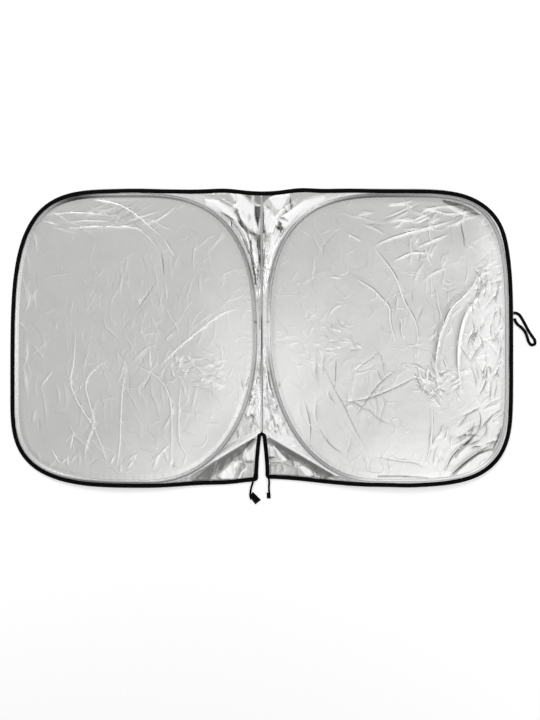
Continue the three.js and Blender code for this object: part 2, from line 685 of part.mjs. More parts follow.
/** Triangular flap beside the slit, tucked beneath the hem. */
function flapGeometry({ hoop, end, slit, rim, hem, underHoop }) {
  const { side } = hoop;
  const band = (at) => ({ at, height: BAND_HEIGHT, extra: 0 });
  const low = (at) => ({ at, height: FLAP_FLOOR_GAP, extra: 0 });
  const hemAt = (distance, above) => [side * distance, hemY({ end }, distance) + above];
  const legEdge = clothEdge(slit, side).filter(([, y]) => y < HEM_TOP_Y - 12);
  const bottomEdge = clothEdge(rim, side).filter(([x, y]) => y < 0 && Math.abs(x) < FLAP_END_X);
  const tuckEnd = end.x - FLAP_TUCK_END;
  const lowerEdge = offset(withNormals([...hem, ...underHoop], false), side * FLAP_CLEARANCE)
    .filter(([x]) => Math.abs(x) > tuckEnd + 8 && Math.abs(x) < FLAP_END_X - 10)
    .reverse();
  const tucked = Array.from({ length: FLAP_TUCK_STEPS + 1 }, (_, i) =>
    hemAt(tuckEnd + ((FLAP_TUCK_START + 2 - tuckEnd) * i) / FLAP_TUCK_STEPS, FLAP_TUCK),
  );
  const topCorner = Math.abs(legEdge[0][0]);
  const cloth = new Cloth([
    ...legEdge.map(band),
    ...bottomEdge.map(band),
    ...lowerEdge.map(band),
    low(hemAt(tuckEnd + 2, -FLAP_CLEARANCE)),
    ...tucked.map(low),
    low(hemAt(FLAP_TUCK_START, -FLAP_CLEARANCE)),
    band(hemAt(FLAP_TUCK_START * 0.72, -FLAP_CLEARANCE)),
    band(hemAt(FLAP_TUCK_START * 0.36, -FLAP_CLEARANCE)),
    band(hemAt(topCorner, -FLAP_CLEARANCE)),
  ]);
  tucked.forEach(([x, y]) => cloth.add([x, y - FLAP_TUCK * 1.5], FLAP_FLOOR_GAP, 0, 4));
  offset(slit, -side * (SLIT_TAPE_WIDTH + 3)).forEach((at) => cloth.add(at, BAND_HEIGHT, 0, 7));
  offset(rim, -side * (TAPE_WIDTH + 3)).forEach((at) => cloth.add(at, BAND_HEIGHT, 0, 7));
  const folds = FLAP_FOLDS.map((fold) => ({ ...fold, line: fold.line.map(([x, y]) => [side * x, y]) }));
  const tapes = [...legEdge, ...bottomEdge];
  cloth.addFolds(folds, () => BAND_HEIGHT, (at) => distanceTo(tapes, at) > TAPE_WIDTH + FOLD_MARGIN);
  cloth.fill(() => BAND_HEIGHT);
  return cloth.geometry();
}

/** Tape that covers the seam between the two half panels. */
function seamTapeGeometry() {
  const foot = CLOTH_TOP + SEWN_GAP;
  const half = SEAM_TAPE_WIDTH / 2;
  const section = [[-half, foot], [half, foot], [half, foot + CLOTH_THICKNESS], [-half, foot + CLOTH_THICKNESS]];
  const from = OVERALL_HEIGHT / 2 - TOP_DIP - TAPE_WIDTH - 1;
  const to = SLIT_APEX_Y + SLIT_TAPE_WIDTH + 1;
  const steps = Math.round((from - to) / SEAM_STEP);
  const line = Array.from({ length: steps + 1 }, (_, i) => [0, from + ((to - from) * i) / steps]);
  return sweep(withNormals(line, false), section, false);
}

/** Flat strap with rounded edges along a route. */
function strapGeometry(route, width, thickness) {
  const path = new THREE.CatmullRomCurve3(route.map(([x, y, z]) => new THREE.Vector3(x, y, z)));
  const across = width / 2;
  const up = thickness / 2;
  const section = new THREE.Shape([
    new THREE.Vector2(up, across * 0.8),
    new THREE.Vector2(up * 0.5, across),
    new THREE.Vector2(-up * 0.5, across),
    new THREE.Vector2(-up, across * 0.8),
    new THREE.Vector2(-up, -across * 0.8),
    new THREE.Vector2(-up * 0.5, -across),
    new THREE.Vector2(up * 0.5, -across),
    new THREE.Vector2(up, -across * 0.8),
  ]);
  const steps = Math.ceil(path.getLength() / (2.2 * width));
  return new THREE.ExtrudeGeometry(section, { extrudePath: path, steps });
}

/** Flat tab that lies on the surface. */
function tabGeometry(corners) {
  const shape = new THREE.Shape(corners.map(([x, y]) => new THREE.Vector2(x, y)));
  return new THREE.ExtrudeGeometry(shape, { depth: TAB_THICKNESS, bevelEnabled: false });
}

const materials = {
  silverCloth: { color: 0xc4c4c4, roughness: 0.34, metalness: 0.85 },
  silverTape: { color: 0xb4b4b4, roughness: 0.4, metalness: 0.8 },
  blackTape: { color: 0x0b0b0b, roughness: 0.7, metalness: 0 },
  elastic: { color: 0x080808, roughness: 0.85, metalness: 0 },
  springSteel: { color: 0x8a8d90, roughness: 0.3, metalness: 1 },
};

const shade = new THREE.Group();

/** Adds a named piece to the shade. */
function addPiece(name, geometry, look) {
  const mesh = new THREE.Mesh(geometry, new THREE.MeshStandardMaterial(materials[look]));
  mesh.name = name;
  shade.add(mesh);
}

const left = sideLayout(LEFT_HOOP, LEFT_LEG, LEFT_HEM_END);
const right = sideLayout(RIGHT_HOOP, RIGHT_LEG, RIGHT_HEM_END);

for (const [word, layout, folds] of [["left", left, LEFT_FOLDS], ["right", right, RIGHT_FOLDS]]) {
  const { side } = layout.hoop;
  const inward = (section) => section.map(([across, up]) => [-side * across, up]);
  const clearOfSeam = (station) => ({ ...station, x: side * SEWN_GAP / 2 });
  const slitLine = [clearOfSeam(layout.slit[0]), ...layout.slit.slice(1)];
  const rimLine = [...layout.rim.slice(0, -1), clearOfSeam(layout.rim[layout.rim.length - 1])];
  addPiece(`${word}_panel`, panelGeometry(layout, folds), "silverCloth");
  addPiece(`${word}_flap`, flapGeometry(layout), "silverCloth");
  addPiece(`${word}_hoop_casing`, sweep(layout.stations, casingSection(), true), "silverTape");
  addPiece(`${word}_hoop_wire`, wireGeometry(layout.stations), "springSteel");
  addPiece(`${word}_hoop_ferrule`, ferruleGeometry(layout.stations), "springSteel");
  addPiece(`${word}_slit_binding`, sweep(slitLine, inward(foldedTapeSection(SLIT_TAPE_WIDTH)), false), "blackTape");
  addPiece(`${word}_edge_binding`, sweep(rimLine, inward(foldedTapeSection(TAPE_WIDTH)), false), "blackTape");
}

addPiece("centre_seam_tape", seamTapeGeometry(), "silverTape");
addPiece("storage_loop", strapGeometry(LOOP_ROUTE, LOOP_WIDTH, LOOP_THICKNESS), "elastic");
addPiece("left_tie", strapGeometry(LEFT_TIE_ROUTE, TIE_WIDTH, TIE_THICKNESS), "elastic");
addPiece("right_tie", strapGeometry(RIGHT_TIE_ROUTE, TIE_WIDTH, TIE_THICKNESS), "elastic");
addPiece("left_tie_tab", tabGeometry(LEFT_TAB_CORNERS), "blackTape");
addPiece("right_tie_tab", tabGeometry(RIGHT_TAB_CORNERS), "blackTape");

export default shade;
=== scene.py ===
"""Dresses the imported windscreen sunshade: crinkled silver cloth, hoop casings, binding, ties and loop.

Sizes are millimetres in the row frame, as in the part's source. They become metres where a mesh is made.
"""

import logging
import math
from collections.abc import Callable, Sequence
from dataclasses import dataclass, field, replace
from enum import Enum

import bpy
import numpy as np
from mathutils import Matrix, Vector
from mathutils.kdtree import KDTree


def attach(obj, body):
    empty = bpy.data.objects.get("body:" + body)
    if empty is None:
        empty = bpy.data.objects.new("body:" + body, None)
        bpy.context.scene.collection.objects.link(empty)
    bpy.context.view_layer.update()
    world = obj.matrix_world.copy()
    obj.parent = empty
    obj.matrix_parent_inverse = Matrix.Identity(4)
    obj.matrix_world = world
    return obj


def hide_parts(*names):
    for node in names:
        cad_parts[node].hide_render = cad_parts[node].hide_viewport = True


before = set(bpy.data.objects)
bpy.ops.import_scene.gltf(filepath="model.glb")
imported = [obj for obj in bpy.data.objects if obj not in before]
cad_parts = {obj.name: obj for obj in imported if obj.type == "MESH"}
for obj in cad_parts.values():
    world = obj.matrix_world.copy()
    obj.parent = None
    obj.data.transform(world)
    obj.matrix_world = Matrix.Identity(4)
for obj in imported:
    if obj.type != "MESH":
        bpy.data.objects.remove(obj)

LOG = logging.getLogger("sunshade")
MM = 0.001
MM_IN_A_METRE = 1.0 / MM
BODY = "root"

# Side of a new grid, in metres
GRID_SIDE = 2.0

# Distance between the points of the wire line
WIRE_STEP = 4.0

# The picture's scale and where the seam and the middle of the height lie in it
PICTURE_SCALE = 2.982
PICTURE_SEAM = 261.75
PICTURE_MIDDLE = 338.5

# Height of the pinch where both hoops are tacked to the seam
PINCH_Y = 49.0

Line = np.ndarray
Point = tuple[float, float]


def from_picture(points: Sequence[Point]) -> Line:
    """Turns places in the picture into millimetres in the row frame.

    Args:
        points: Places as (across, down) from the picture's top left corner.

    Returns:
        One row of x and y for each place.
    """
    across, down = np.array(points, float).T
    return PICTURE_SCALE * np.stack([across - PICTURE_SEAM, PICTURE_MIDDLE - down], axis=1)


def smoothstep(low: float, high: float, value: np.ndarray) -> np.ndarray:
    """Rises smoothly from 0 at low to 1 at high."""
    share = np.clip((value - low) / (high - low), 0.0, 1.0)
    return share * share * (3.0 - 2.0 * share)


def evenly(line: Line, step: float) -> Line:
    """Spaces the points of a line evenly.

    Args:
        line: Points in two or three dimensions.
        step: The distance to aim for between points.

    Returns:
        The line again, its first and last point kept.
    """
    spans = np.linalg.norm(np.diff(line, axis=0), axis=1)
    along = np.concatenate([[0.0], np.cumsum(spans)])
    count = max(2, int(round(along[-1] / step)) + 1)
    at = np.linspace(0.0, along[-1], count)
    return np.stack([np.interp(at, along, line[:, axis]) for axis in range(line.shape[1])], axis=1)


def rounded(points: np.ndarray, share: int = 12) -> np.ndarray:
    """Runs a smooth curve through points.

    Args:
        points: The points that the curve passes.
        share: Points made between two neighbours.

    Returns:
        The curve's points.
    """
    ends = np.vstack([2 * points[0] - points[1], points, 2 * points[-1] - points[-2]])
    made = []
    for i in range(1, len(ends) - 2):
        before, here, there, after = ends[i - 1 : i + 3]
        for t in np.arange(share) / share:
            made.append(
                0.5
                * (
                    2 * here
                    + (there - before) * t
                    + (2 * before - 5 * here + 4 * there - after) * t**2
                    + (3 * here - before - 3 * there + after) * t**3
                )
            )
    made.append(points[-1])
    return np.array(made)


def normals(line: Line, closed: bool = False) -> Line:
    """Unit normals to the right of the direction of travel."""
    if closed:
        along = np.roll(line, -1, axis=0) - np.roll(line, 1, axis=0)
    else:
        along = np.gradient(line, axis=0)
    length = np.linalg.norm(along[:, :2], axis=1, keepdims=True)
    return np.stack([along[:, 1], -along[:, 0]], axis=1) / np.maximum(length, 1e-9)


def cubic(start: Point, near: Point, far: Point, end: Point, count: int = 80) -> Line:
    """Points along a cubic curve."""
    t = np.linspace(0.0, 1.0, count)[:, None]
    a, b, c, d = (np.array(point, float) for point in (start, near, far, end))
    return (1 - t) ** 3 * a + 3 * (1 - t) ** 2 * t * b + 3 * (1 - t) * t**2 * c + t**3 * d


def arc(centre: Point, radius: float, start: float, end: float, count: int = 24) -> Line:
    """Points along an arc, its angles in degrees."""
    angle = np.radians(np.linspace(start, end, count))
    return np.array(centre) + radius * np.stack([np.cos(angle), np.sin(angle)], axis=1)


def within(points: Line, outline: Line) -> np.ndarray:
    """Tells which points lie inside a closed outline."""
    found = np.zeros(len(points), bool)
    x, y = points[:, 0], points[:, 1]
    for (ax, ay), (bx, by) in zip(outline, np.roll(outline, -1, axis=0)):
        if ay == by:
            continue
        crosses = ((ay > y) != (by > y)) & (x < (bx - ax) * (y - ay) / (by - ay) + ax)
        found ^= crosses
    return found


class Track:
    """A line that distances are measured from."""

    def __init__(self, line: Line, closed: bool = False) -> None:
        """Keeps the line with a point at every millimetre or so."""
        whole = np.vstack([line, line[:1]]) if closed else line
        self.points = evenly(whole[:, :2], 1.2)
        spans = np.linalg.norm(np.diff(self.points, axis=0), axis=1)
        self.along = np.concatenate([[0.0], np.cumsum(spans)])
        self.tree = KDTree(len(self.points))
        for i, (x, y) in enumerate(self.points):
            self.tree.insert((x, y, 0.0), i)
        self.tree.balance()

    def measure(self, points: Line) -> tuple[np.ndarray, np.ndarray]:
        """Measures points from the line.

        Args:
            points: Rows of x and y.

        Returns:
            The distance of each point, and how far along the line its nearest place is.
        """
        away = np.empty(len(points))
        along = np.empty(len(points))
        for i, (x, y) in enumerate(points):
            _, nearest, distance = self.tree.find((x, y, 0.0))
            away[i] = distance
            along[i] = self.along[nearest]
        return away, along

    def nearest(self, points: Line) -> Line:
        """The place on the line that is nearest to each point."""
        return np.array([self.points[self.tree.find((x, y, 0.0))[1]] for x, y in points])


class Unevenness:
    """Smooth seeded noise over the plane, from 0 to 1."""

    SIDE = 128

    def __init__(self, seed: int) -> None:
        """Fills the lattice that the noise is read from."""
        self.lattice = np.random.default_rng(seed).random((self.SIDE, self.SIDE))

    def at(self, x: np.ndarray, y: np.ndarray, size: float) -> np.ndarray:
        """The noise at places, for swells about as wide as size."""
        u, v = x / size + 40.0, y / size + 40.0
        i, j = np.floor(u).astype(int), np.floor(v).astype(int)
        s, t = u - i, v - j
        s, t = s * s * (3 - 2 * s), t * t * (3 - 2 * t)
        i, j, right, up = i % self.SIDE, j % self.SIDE, (i + 1) % self.SIDE, (j + 1) % self.SIDE
        low = self.lattice[i, j] * (1 - s) + self.lattice[right, j] * s
        high = self.lattice[i, up] * (1 - s) + self.lattice[right, up] * s
        return low * (1 - t) + high * t

    def wave(self, x: np.ndarray, y: np.ndarray, pitch: float, drift: float, size: float) -> np.ndarray:
        """A wave along x, whose beat wanders by drift over swells about as wide as size."""
        return np.sin(x / pitch + drift * self.at(x, y, size))

    def creased(self, x: np.ndarray, y: np.ndarray, size: float) -> np.ndarray:
        """Noise with sharp crests, as in cloth that was once crumpled."""
        bend = size * 0.6
        warped_x = x + bend * (self.at(y, x, size * 1.7) - 0.5)
        warped_y = y + bend * (self.at(x + 300.0, y, size * 1.7) - 0.5)
        return 1.0 - np.abs(2.0 * self.at(warped_x, warped_y, size) - 1.0)


@dataclass
class Draft:
    """Cloth being shaped: its points, and for each what shapes it or is painted on it.

    The painted light is a painted highlight, or painted shade where negative, from -1 to 1. Crumpled is the
    share of fine crinkles.
    Away is the signed distance to the nearest crease, and crease light is the painted highlight along that
    crease's line, painted shade where negative, from -1 to 1.
    """

    MARK_REACH = 7.0
    TRACE_REACH = 9.5
    FAR = 99.0
    PAINTED = ("tone", "crumpled", "away", "mark")

    points: Line
    height: np.ndarray
    tone: np.ndarray
    crumpled: np.ndarray
    away: np.ndarray
    mark: np.ndarray

    @classmethod
    def flat(cls, points: Line, tone: float = 0.0) -> "Draft":
        """Starts flat cloth with one level of painted light."""
        count = len(points)
        none = np.zeros(count)
        return cls(points, none, np.full(count, tone), none.copy(), np.full(count, cls.FAR), none.copy())

    def crease(self, near: np.ndarray, signed: np.ndarray, tone: np.ndarray) -> None:
        """Notes a crease at the points that it is the nearest one to.

        Args:
            near: The indices of the points.
            signed: The distance of each from the crease, negative on its right.
            tone: The painted highlight along the crease's line at each, negative for painted shade.
        """
        distance = np.abs(signed)
        closer = (distance < np.abs(self.away[near])) & (distance < self.TRACE_REACH)
        chosen = near[closer]
        self.away[chosen] = signed[closer]
        self.mark[chosen] = np.where(distance < self.MARK_REACH, tone, 0.0)[closer]


@dataclass(frozen=True)
class Fold:
    """A crease in the cloth: where it runs in the picture, how high it stands, how wide it is, and the
    painted highlight drawn along its line, painted shade where negative.
    """

    REACH = 3.6
    END = 0.02
    # Height at which a crease's painted highlight is full
    FULL_LINE = 1.8

    name: str
    line: tuple[Point, ...]
    height: float = 2.2
    width: float = 5.0
    sharpness: float = 1.25
    lean: float = 0.0
    tone: float | None = None

    def raise_cloth(self, draft: Draft) -> None:
        """Adds the crease to the cloth."""
        press_fold(evenly(rounded(from_picture(self.line)), 4.0), self, draft)


def press_fold(line: Line, fold: Fold, draft: Draft) -> None:
    """Presses one crease along a line into the cloth.

    Args:
        line: The crest, rows of x and y.
        fold: The crease's height, width, sharpness, lean and painted light.
        draft: The cloth, changed in place.
    """
    points = draft.points
    reach = max(abs(fold.width) * fold.REACH, Draft.TRACE_REACH)
    low, high = line.min(axis=0) - reach, line.max(axis=0) + reach
    near = np.flatnonzero(((points > low) & (points < high)).all(axis=1))
    if not len(near):
        return
    spans = np.linalg.norm(np.diff(line, axis=0), axis=1)
    starts = np.concatenate([[0.0], np.cumsum(spans)])
    best = np.full(len(near), np.inf)
    side = np.zeros(len(near))
    along = np.zeros(len(near))
    here = points[near]
    for i, (start, end) in enumerate(zip(line[:-1], line[1:])):
        run = end - start
        away = here - start
        share = np.clip(away @ run / max(run @ run, 1e-9), 0.0, 1.0)
        rest = away - share[:, None] * run
        distance = np.hypot(rest[:, 0], rest[:, 1])
        closer = distance < best
        best[closer] = distance[closer]
        side[closer] = (run[0] * away[:, 1] - run[1] * away[:, 0])[closer]
        along[closer] = (starts[i] + share * spans[i])[closer]
    place = along / starts[-1]
    taper = np.sin(np.pi * np.clip(place, fold.END, 1.0 - fold.END)) ** 0.6
    width = np.where(side > 0, fold.width * (1 + fold.lean), fold.width * (1 - fold.lean))
    width = width * (0.6 + 0.4 * taper)
    crest = np.exp(-((best / width) ** fold.sharpness)) * taper
    draft.height[near] += fold.height * crest
    # Painted highlight along the crest, painted shade where negative; unless given, it follows the crease's
    # height
    tone = fold.height / fold.FULL_LINE if fold.tone is None else fold.tone
    draft.crease(near, np.copysign(best, side), float(np.clip(tone, -1.0, 1.0)) * taper)


@dataclass(frozen=True)
class Crumple:
    """A patch of many small creases, placed by seed inside an ellipse of the picture."""

    TURNS = 3
    WANDER = 13.0
    WAYS = (1.0, 1.0, -0.5)

    name: str
    centre: Point
    half_width: float
    half_height: float
    count: int
    heading: float
    spread: float
    length: tuple[float, float] = (30.0, 90.0)
    height: tuple[float, float] = (0.5, 1.5)
    width: tuple[float, float] = (3.0, 6.0)
    seed: int = 1
    roughness: float = 0.0

    def raise_cloth(self, draft: Draft) -> None:
        """Adds the patch's creases to the cloth."""
        chance = np.random.default_rng(self.seed)
        middle = from_picture([self.centre])[0]
        for _ in range(self.count):
            turn, out = chance.uniform(0, 2 * np.pi), np.sqrt(chance.random())
            start = middle + PICTURE_SCALE * out * np.array(
                [self.half_width * np.cos(turn), self.half_height * np.sin(turn)]
            )
            angle = np.radians(self.heading + chance.uniform(-self.spread, self.spread))
            long = chance.uniform(*self.length)
            steps = [start]
            for _ in range(self.TURNS):
                angle += np.radians(chance.normal(0.0, self.WANDER))
                steps.append(steps[-1] + long / self.TURNS * np.array([np.cos(angle), np.sin(angle)]))
            fold = Fold(
                self.name,
                (),
                height=chance.uniform(*self.height) * chance.choice(self.WAYS),
                width=chance.uniform(*self.width),
                sharpness=chance.uniform(1.0, 1.5),
                lean=chance.uniform(-0.4, 0.4),
            )
            press_fold(evenly(np.array(steps), 5.0), fold, draft)
        draft.crumpled[:] = np.maximum(draft.crumpled, self._reach(draft.points))

    def _reach(self, points: Line) -> np.ndarray:
        """How far each point shares in the patch's fine crinkles, from 0 to 1."""
        middle = from_picture([self.centre])[0]
        size = PICTURE_SCALE * np.array([self.half_width, self.half_height])
        away = np.linalg.norm((points - middle) / size, axis=1)
        return self.roughness * (1.0 - smoothstep(0.7, 1.3, away))


@dataclass(frozen=True)
class Facet:
    """A flat of cloth between creases: it tilts one way and carries its own painted light, a painted
    highlight where positive and painted shade where negative.
    """

    # Share of the crease lines' painted light that a flat's own painted light covers
    HIDDEN_MARK = 0.7

    name: str
    outline: tuple[Point, ...]
    tone: float
    rise: float = 0.0
    heading: float = 0.0
    blur: float = 2.0

    def raise_cloth(self, draft: Draft) -> None:
        """Tilts the flat and gives it its painted highlight or painted shade."""
        points = draft.points
        outline = from_picture(self.outline)
        near = np.flatnonzero(within(points, outline))
        if not len(near):
            return
        share = smoothstep(0.0, self.blur, Track(outline, closed=True).measure(points[near])[0])
        way = np.array([math.cos(math.radians(self.heading)), math.sin(math.radians(self.heading))])
        along = (outline - outline.mean(axis=0)) @ way
        place = ((points[near] - outline.mean(axis=0)) @ way - along.min()) / (along.max() - along.min())
        draft.height[near] += self.rise * share * place
        draft.tone[near] = draft.tone[near] * (1.0 - share) + self.tone * share
        draft.mark[near] *= 1.0 - self.HIDDEN_MARK * share * abs(self.tone)


@dataclass(frozen=True)
class PaintedSheen:
    """A broad patch of painted sheen: the cloth painted lighter than the rest, or darker where negative."""

    name: str
    centre: Point
    half_width: float
    half_height: float
    tone: float
    turn: float = 0.0

    def raise_cloth(self, draft: Draft) -> None:
        """Adds the patch's painted sheen to the cloth."""
        away = (draft.points - from_picture([self.centre])[0]) / PICTURE_SCALE
        c, s = math.cos(math.radians(self.turn)), math.sin(math.radians(self.turn))
        across = (away[:, 0] * c + away[:, 1] * s) / self.half_width
        up = (away[:, 1] * c - away[:, 0] * s) / self.half_height
        draft.tone[:] = np.clip(draft.tone + self.tone * np.exp(-(across**2) - up**2), -1.0, 1.0)


@dataclass(frozen=True)
class Hoop:
    """A sprung hoop: four superellipse quadrants between its top, outer, bottom and inner extremes."""

    side: int
    top_x: float
    outer_y: float
    bottom_x: float
    bottom_rise: float
    inner_y: float
    top_outer: float
    outer_bottom: float
    bottom_inner: float
    inner_top: float

    def extremes(self) -> tuple[Point, Point, Point, Point]:
        """The top, outer, bottom and inner extreme of the wire line."""
        half = SHADE.height / 2 - SHADE.hoop_inset
        return (
            (self.side * self.top_x, half),
            (self.side * (SHADE.width / 2 - SHADE.hoop_inset), self.outer_y),
            (self.side * self.bottom_x, self.bottom_rise - half),
            (self.side * (SHADE.hoop_to_seam + SHADE.casing_width / 2), self.inner_y),
        )

    def wire_line(self) -> Line:
        """The wire line from the bottom round the outer side, closed, with even steps."""
        top, outer, bottom, inner = self.extremes()
        whole = np.vstack(
            [
                quadrant(bottom, outer, self.outer_bottom, True),
                quadrant(outer, top, self.top_outer, False),
                quadrant(top, inner, self.inner_top, True),
                quadrant(inner, bottom, self.bottom_inner, False),
                [bottom],
            ]
        )
        return evenly(whole, WIRE_STEP)[:-1]


def quadrant(start: Point, end: Point, exponent: float, starts_level: bool, count: int = 900) -> Line:
    """Points of a superellipse quadrant.

    Args:
        start: The extreme that it starts from.
        end: The extreme that it runs to.
        exponent: The superellipse's exponent, 2 for an ellipse.
        starts_level: Whether it leaves the start along X.
        count: How many points are made.

    Returns:
        The quadrant's points without the last one.
    """
    angle = np.linspace(0.0, np.pi / 2, count, endpoint=False)
    falling, rising = np.cos(angle) ** (2 / exponent), np.sin(angle) ** (2 / exponent)
    if starts_level:
        return np.stack(
            [start[0] + (end[0] - start[0]) * rising, end[1] + (start[1] - end[1]) * falling], axis=1
        )
    return np.stack([end[0] + (start[0] - end[0]) * falling, start[1] + (end[1] - start[1]) * rising], axis=1)


@dataclass(frozen=True)
class Leg:
    """One bound leg of the mirror slit, and how the bottom edge leaves it."""

    half_gap: float
    corner_y: float
    edge_run: float
    hoop_run: float
    hem_x: float
    hem_y: float


@dataclass(frozen=True)
class Shade:
    """Sizes that all the pieces share.

    A lift is x, y, reach and rise, where the rim stands clear of the surface. A belly is x, y, reach and
    how far the edge bows out there.
    """

    width: float = 1500.0
    height: float = 890.0
    cloth: float = 0.5
    gap: float = 0.3
    tape_width: float = 11.5
    slit_tape_width: float = 10.5
    tape: float = 0.6
    casing_width: float = 13.0
    hoop_to_seam: float = 14.0
    top_dip: float = 6.5
    top_dip_reach: float = 120.0
    apex_y: float = -290.0
    apex_radius: float = 2.0
    corner_radius: float = 12.5
    hem_top_y: float = -283.0
    hem_width: float = 10.0
    flap_end_x: float = 332.0
    lifts: tuple[tuple[float, float, float, float], ...] = (
        (430.0, -445.0, 380.0, 8.0),
        (-420.0, -445.0, 330.0, 6.0),
        (-430.0, 445.0, 330.0, 5.0),
        (430.0, 445.0, 330.0, 5.0),
    )
    bellies: tuple[tuple[float, float, float, float], ...] = (
        (-110.0, 442.0, 60.0, 5.5),
        (115.0, 442.0, 55.0, 6.5),
        (240.0, 445.0, 90.0, 2.6),
        (-375.0, 445.0, 60.0, 1.6),
        (-100.0, -440.0, 70.0, 6.0),
        (690.0, 325.0, 70.0, 5.0),
        (710.0, -300.0, 90.0, 3.5),
        (440.0, -445.0, 60.0, 2.0),
    )

    @property
    def hoop_inset(self) -> float:
        """How far the wire line lies inside the outline."""
        return self.tape_width + self.gap + self.casing_width / 2

    @property
    def cloth_top(self) -> float:
        """The top of the cloth where it is sewn into the tape."""
        return self.tape + self.gap + self.cloth

    @property
    def tape_top(self) -> float:
        """The top of the folded tape."""
        return self.cloth_top + self.gap + self.tape

    def lift(self, x: np.ndarray, y: np.ndarray) -> np.ndarray:
        """How far the rim stands clear of the surface at places."""
        total = np.zeros_like(x, dtype=float)
        for at_x, at_y, reach, rise in self.lifts:
            share = np.clip(np.hypot(x - at_x, y - at_y) / reach, 0.0, 1.0)
            total += rise / 2 * (1 + np.cos(np.pi * share))
        return total


SHADE = Shade()
LEFT_HOOP = Hoop(-1, 372, -172, 340, 0, -5, 4.2, 3.35, 2.14, 2.72)
RIGHT_HOOP = Hoop(1, 385, -51, 345, 3, 30, 4.3, 4.35, 2.14, 2.8)
LEFT_LEG = Leg(10.5, -424.5, 110, 100, 205, -405)
RIGHT_LEG = Leg(11, -418.5, 110, 120, 218, -409)


class Side:
    """The lines of one half of the shade."""

    def __init__(self, hoop: Hoop, leg: Leg) -> None:
        """Lays out the wire, the slit, the rim, the hem and the outlines of the panel and the flap."""
        self.hoop, self.leg, self.sign = hoop, leg, hoop.side
        self.wire = hoop.wire_line()
        self.slit = self._slit_line()
        self.rim = self._rim_line()
        self.hem = self._hem_line()
        self.panel = self._panel_outline()
        self.flap = self._flap_outline()

    def outward(self, line: Line, distance: float | np.ndarray, closed: bool = False) -> Line:
        """Moves a line away from the middle of this half, or towards it if the distance is negative."""
        return line[:, :2] + self.sign * distance * normals(line, closed)

    def _slit_line(self) -> Line:
        """The slit's edge from its apex down to its bottom corner."""
        side, leg = self.sign, self.leg
        centre = (0.0, SHADE.apex_y - SHADE.apex_radius)
        apex = arc(centre, SHADE.apex_radius, 90, 180 if side < 0 else 0)
        top = apex[-1]
        bottom_y = leg.corner_y + SHADE.corner_radius
        long = top[1] - bottom_y
        run = cubic(
            tuple(top),
            (side * leg.half_gap * 0.6, top[1] - long * 0.35),
            (side * leg.half_gap, top[1] - long * 0.7),
            (side * leg.half_gap, bottom_y),
        )
        return evenly(np.vstack([apex, run[1:]]), 2.5)

    def _rim_line(self) -> Line:
        """The outer edge from the slit's bottom corner round to the top of the seam."""
        side, leg, hoop = self.sign, self.leg, self.hoop
        centre = (side * (leg.half_gap + SHADE.corner_radius), leg.corner_y + SHADE.corner_radius)
        corner = arc(centre, SHADE.corner_radius, 0 if side < 0 else 180, -90 if side < 0 else 270)
        top, _, bottom, _ = hoop.extremes()
        end = corner[-1]
        start = (bottom[0], bottom[1] - SHADE.hoop_inset)
        from_slit = (end[0] + side * leg.edge_run, end[1] - 3)
        to_hoop = (start[0] - side * leg.hoop_run, start[1])
        flap_edge = cubic(tuple(end), from_slit, to_hoop, start)
        edge = self.outward(self.wire, SHADE.hoop_inset, closed=True)
        limit = np.where(self.wire[:, 1] > hoop.outer_y, abs(top[0]), abs(bottom[0]))
        round_hoop = edge[np.abs(self.wire[:, 0]) > limit + 3]
        half, dip = SHADE.height / 2, SHADE.height / 2 - SHADE.top_dip
        reach = side * SHADE.top_dip_reach
        bridge = cubic((top[0], half), (reach, half), (reach / 2, dip), (0.0, dip))
        line = evenly(np.vstack([corner[:-1], flap_edge, round_hoop, bridge]), 5.0)
        return self.outward(line, self._ease(line)[:, None])

    def _ease(self, line: Line) -> np.ndarray:
        """How far the cloth's edge bellies out at the points of a line, since no wire holds it straight."""
        total = np.zeros(len(line))
        for at_x, at_y, reach, belly in SHADE.bellies:
            total += belly * np.exp(-((np.hypot(line[:, 0] - at_x, line[:, 1] - at_y) / reach) ** 2))
        return total

    def _hem_line(self) -> Line:
        """The lower edge of the diagonal hem, from the seam to the hoop."""
        end = (self.sign * self.leg.hem_x, self.leg.hem_y)
        return evenly(np.array([(self.sign * 0.15, SHADE.hem_top_y), end]), 5.0)

    def _under_hoop(self) -> Line:
        """The panel's edge beyond the casing, where the flap meets it."""
        line = self.outward(self.wire, SHADE.casing_width / 2 + 2, closed=True)
        x, y = np.abs(line[:, 0]), line[:, 1]
        keep = (y < self.leg.hem_y) & (x > self.leg.hem_x + 8) & (x < SHADE.flap_end_x - 6)
        return line[keep & (np.arange(len(line)) > len(line) // 2)]

    def _panel_outline(self) -> Line:
        """The outline of the half panel."""
        edge = self.outward(self.rim, -SHADE.tape - SHADE.gap)
        edge = edge[(edge[:, 1] > 0) | (np.abs(edge[:, 0]) > SHADE.flap_end_x + 12)]
        seam_x = self.sign * SHADE.gap / 2
        edge = edge[np.abs(edge[:, 0]) > 1]
        seam = np.array([(seam_x, edge[-1, 1]), (seam_x, SHADE.hem_top_y)])
        return np.vstack([edge, seam, self.hem[1:], self._under_hoop()])

    def _flap_outline(self) -> Line:
        """The outline of the flap, with the strip that lies beneath the hem."""
        inset = -SHADE.tape - SHADE.gap
        leg_edge = self.outward(self.slit, inset)
        leg_edge = leg_edge[leg_edge[:, 1] < SHADE.hem_top_y - 12]
        bottom = self.outward(self.rim, inset)
        bottom = bottom[(bottom[:, 1] < 0) & (np.abs(bottom[:, 0]) < SHADE.flap_end_x)]
        under = self.outward(self._under_hoop(), 1.2)
        under = under[np.abs(under[:, 0]) < SHADE.flap_end_x - 10][::-1]
        tucked = self.outward(self.hem, -7.0)
        x = np.abs(tucked[:, 0])
        tucked = tucked[(x > 36) & (x < self.leg.hem_x - 24)][::-1]
        return np.vstack([leg_edge, bottom, under, tucked])


def alone(made: bpy.types.Object) -> None:
    """Selects one object and nothing else."""
    bpy.ops.object.select_all(action="DESELECT")
    made.select_set(True)
    bpy.context.view_layer.objects.active = made


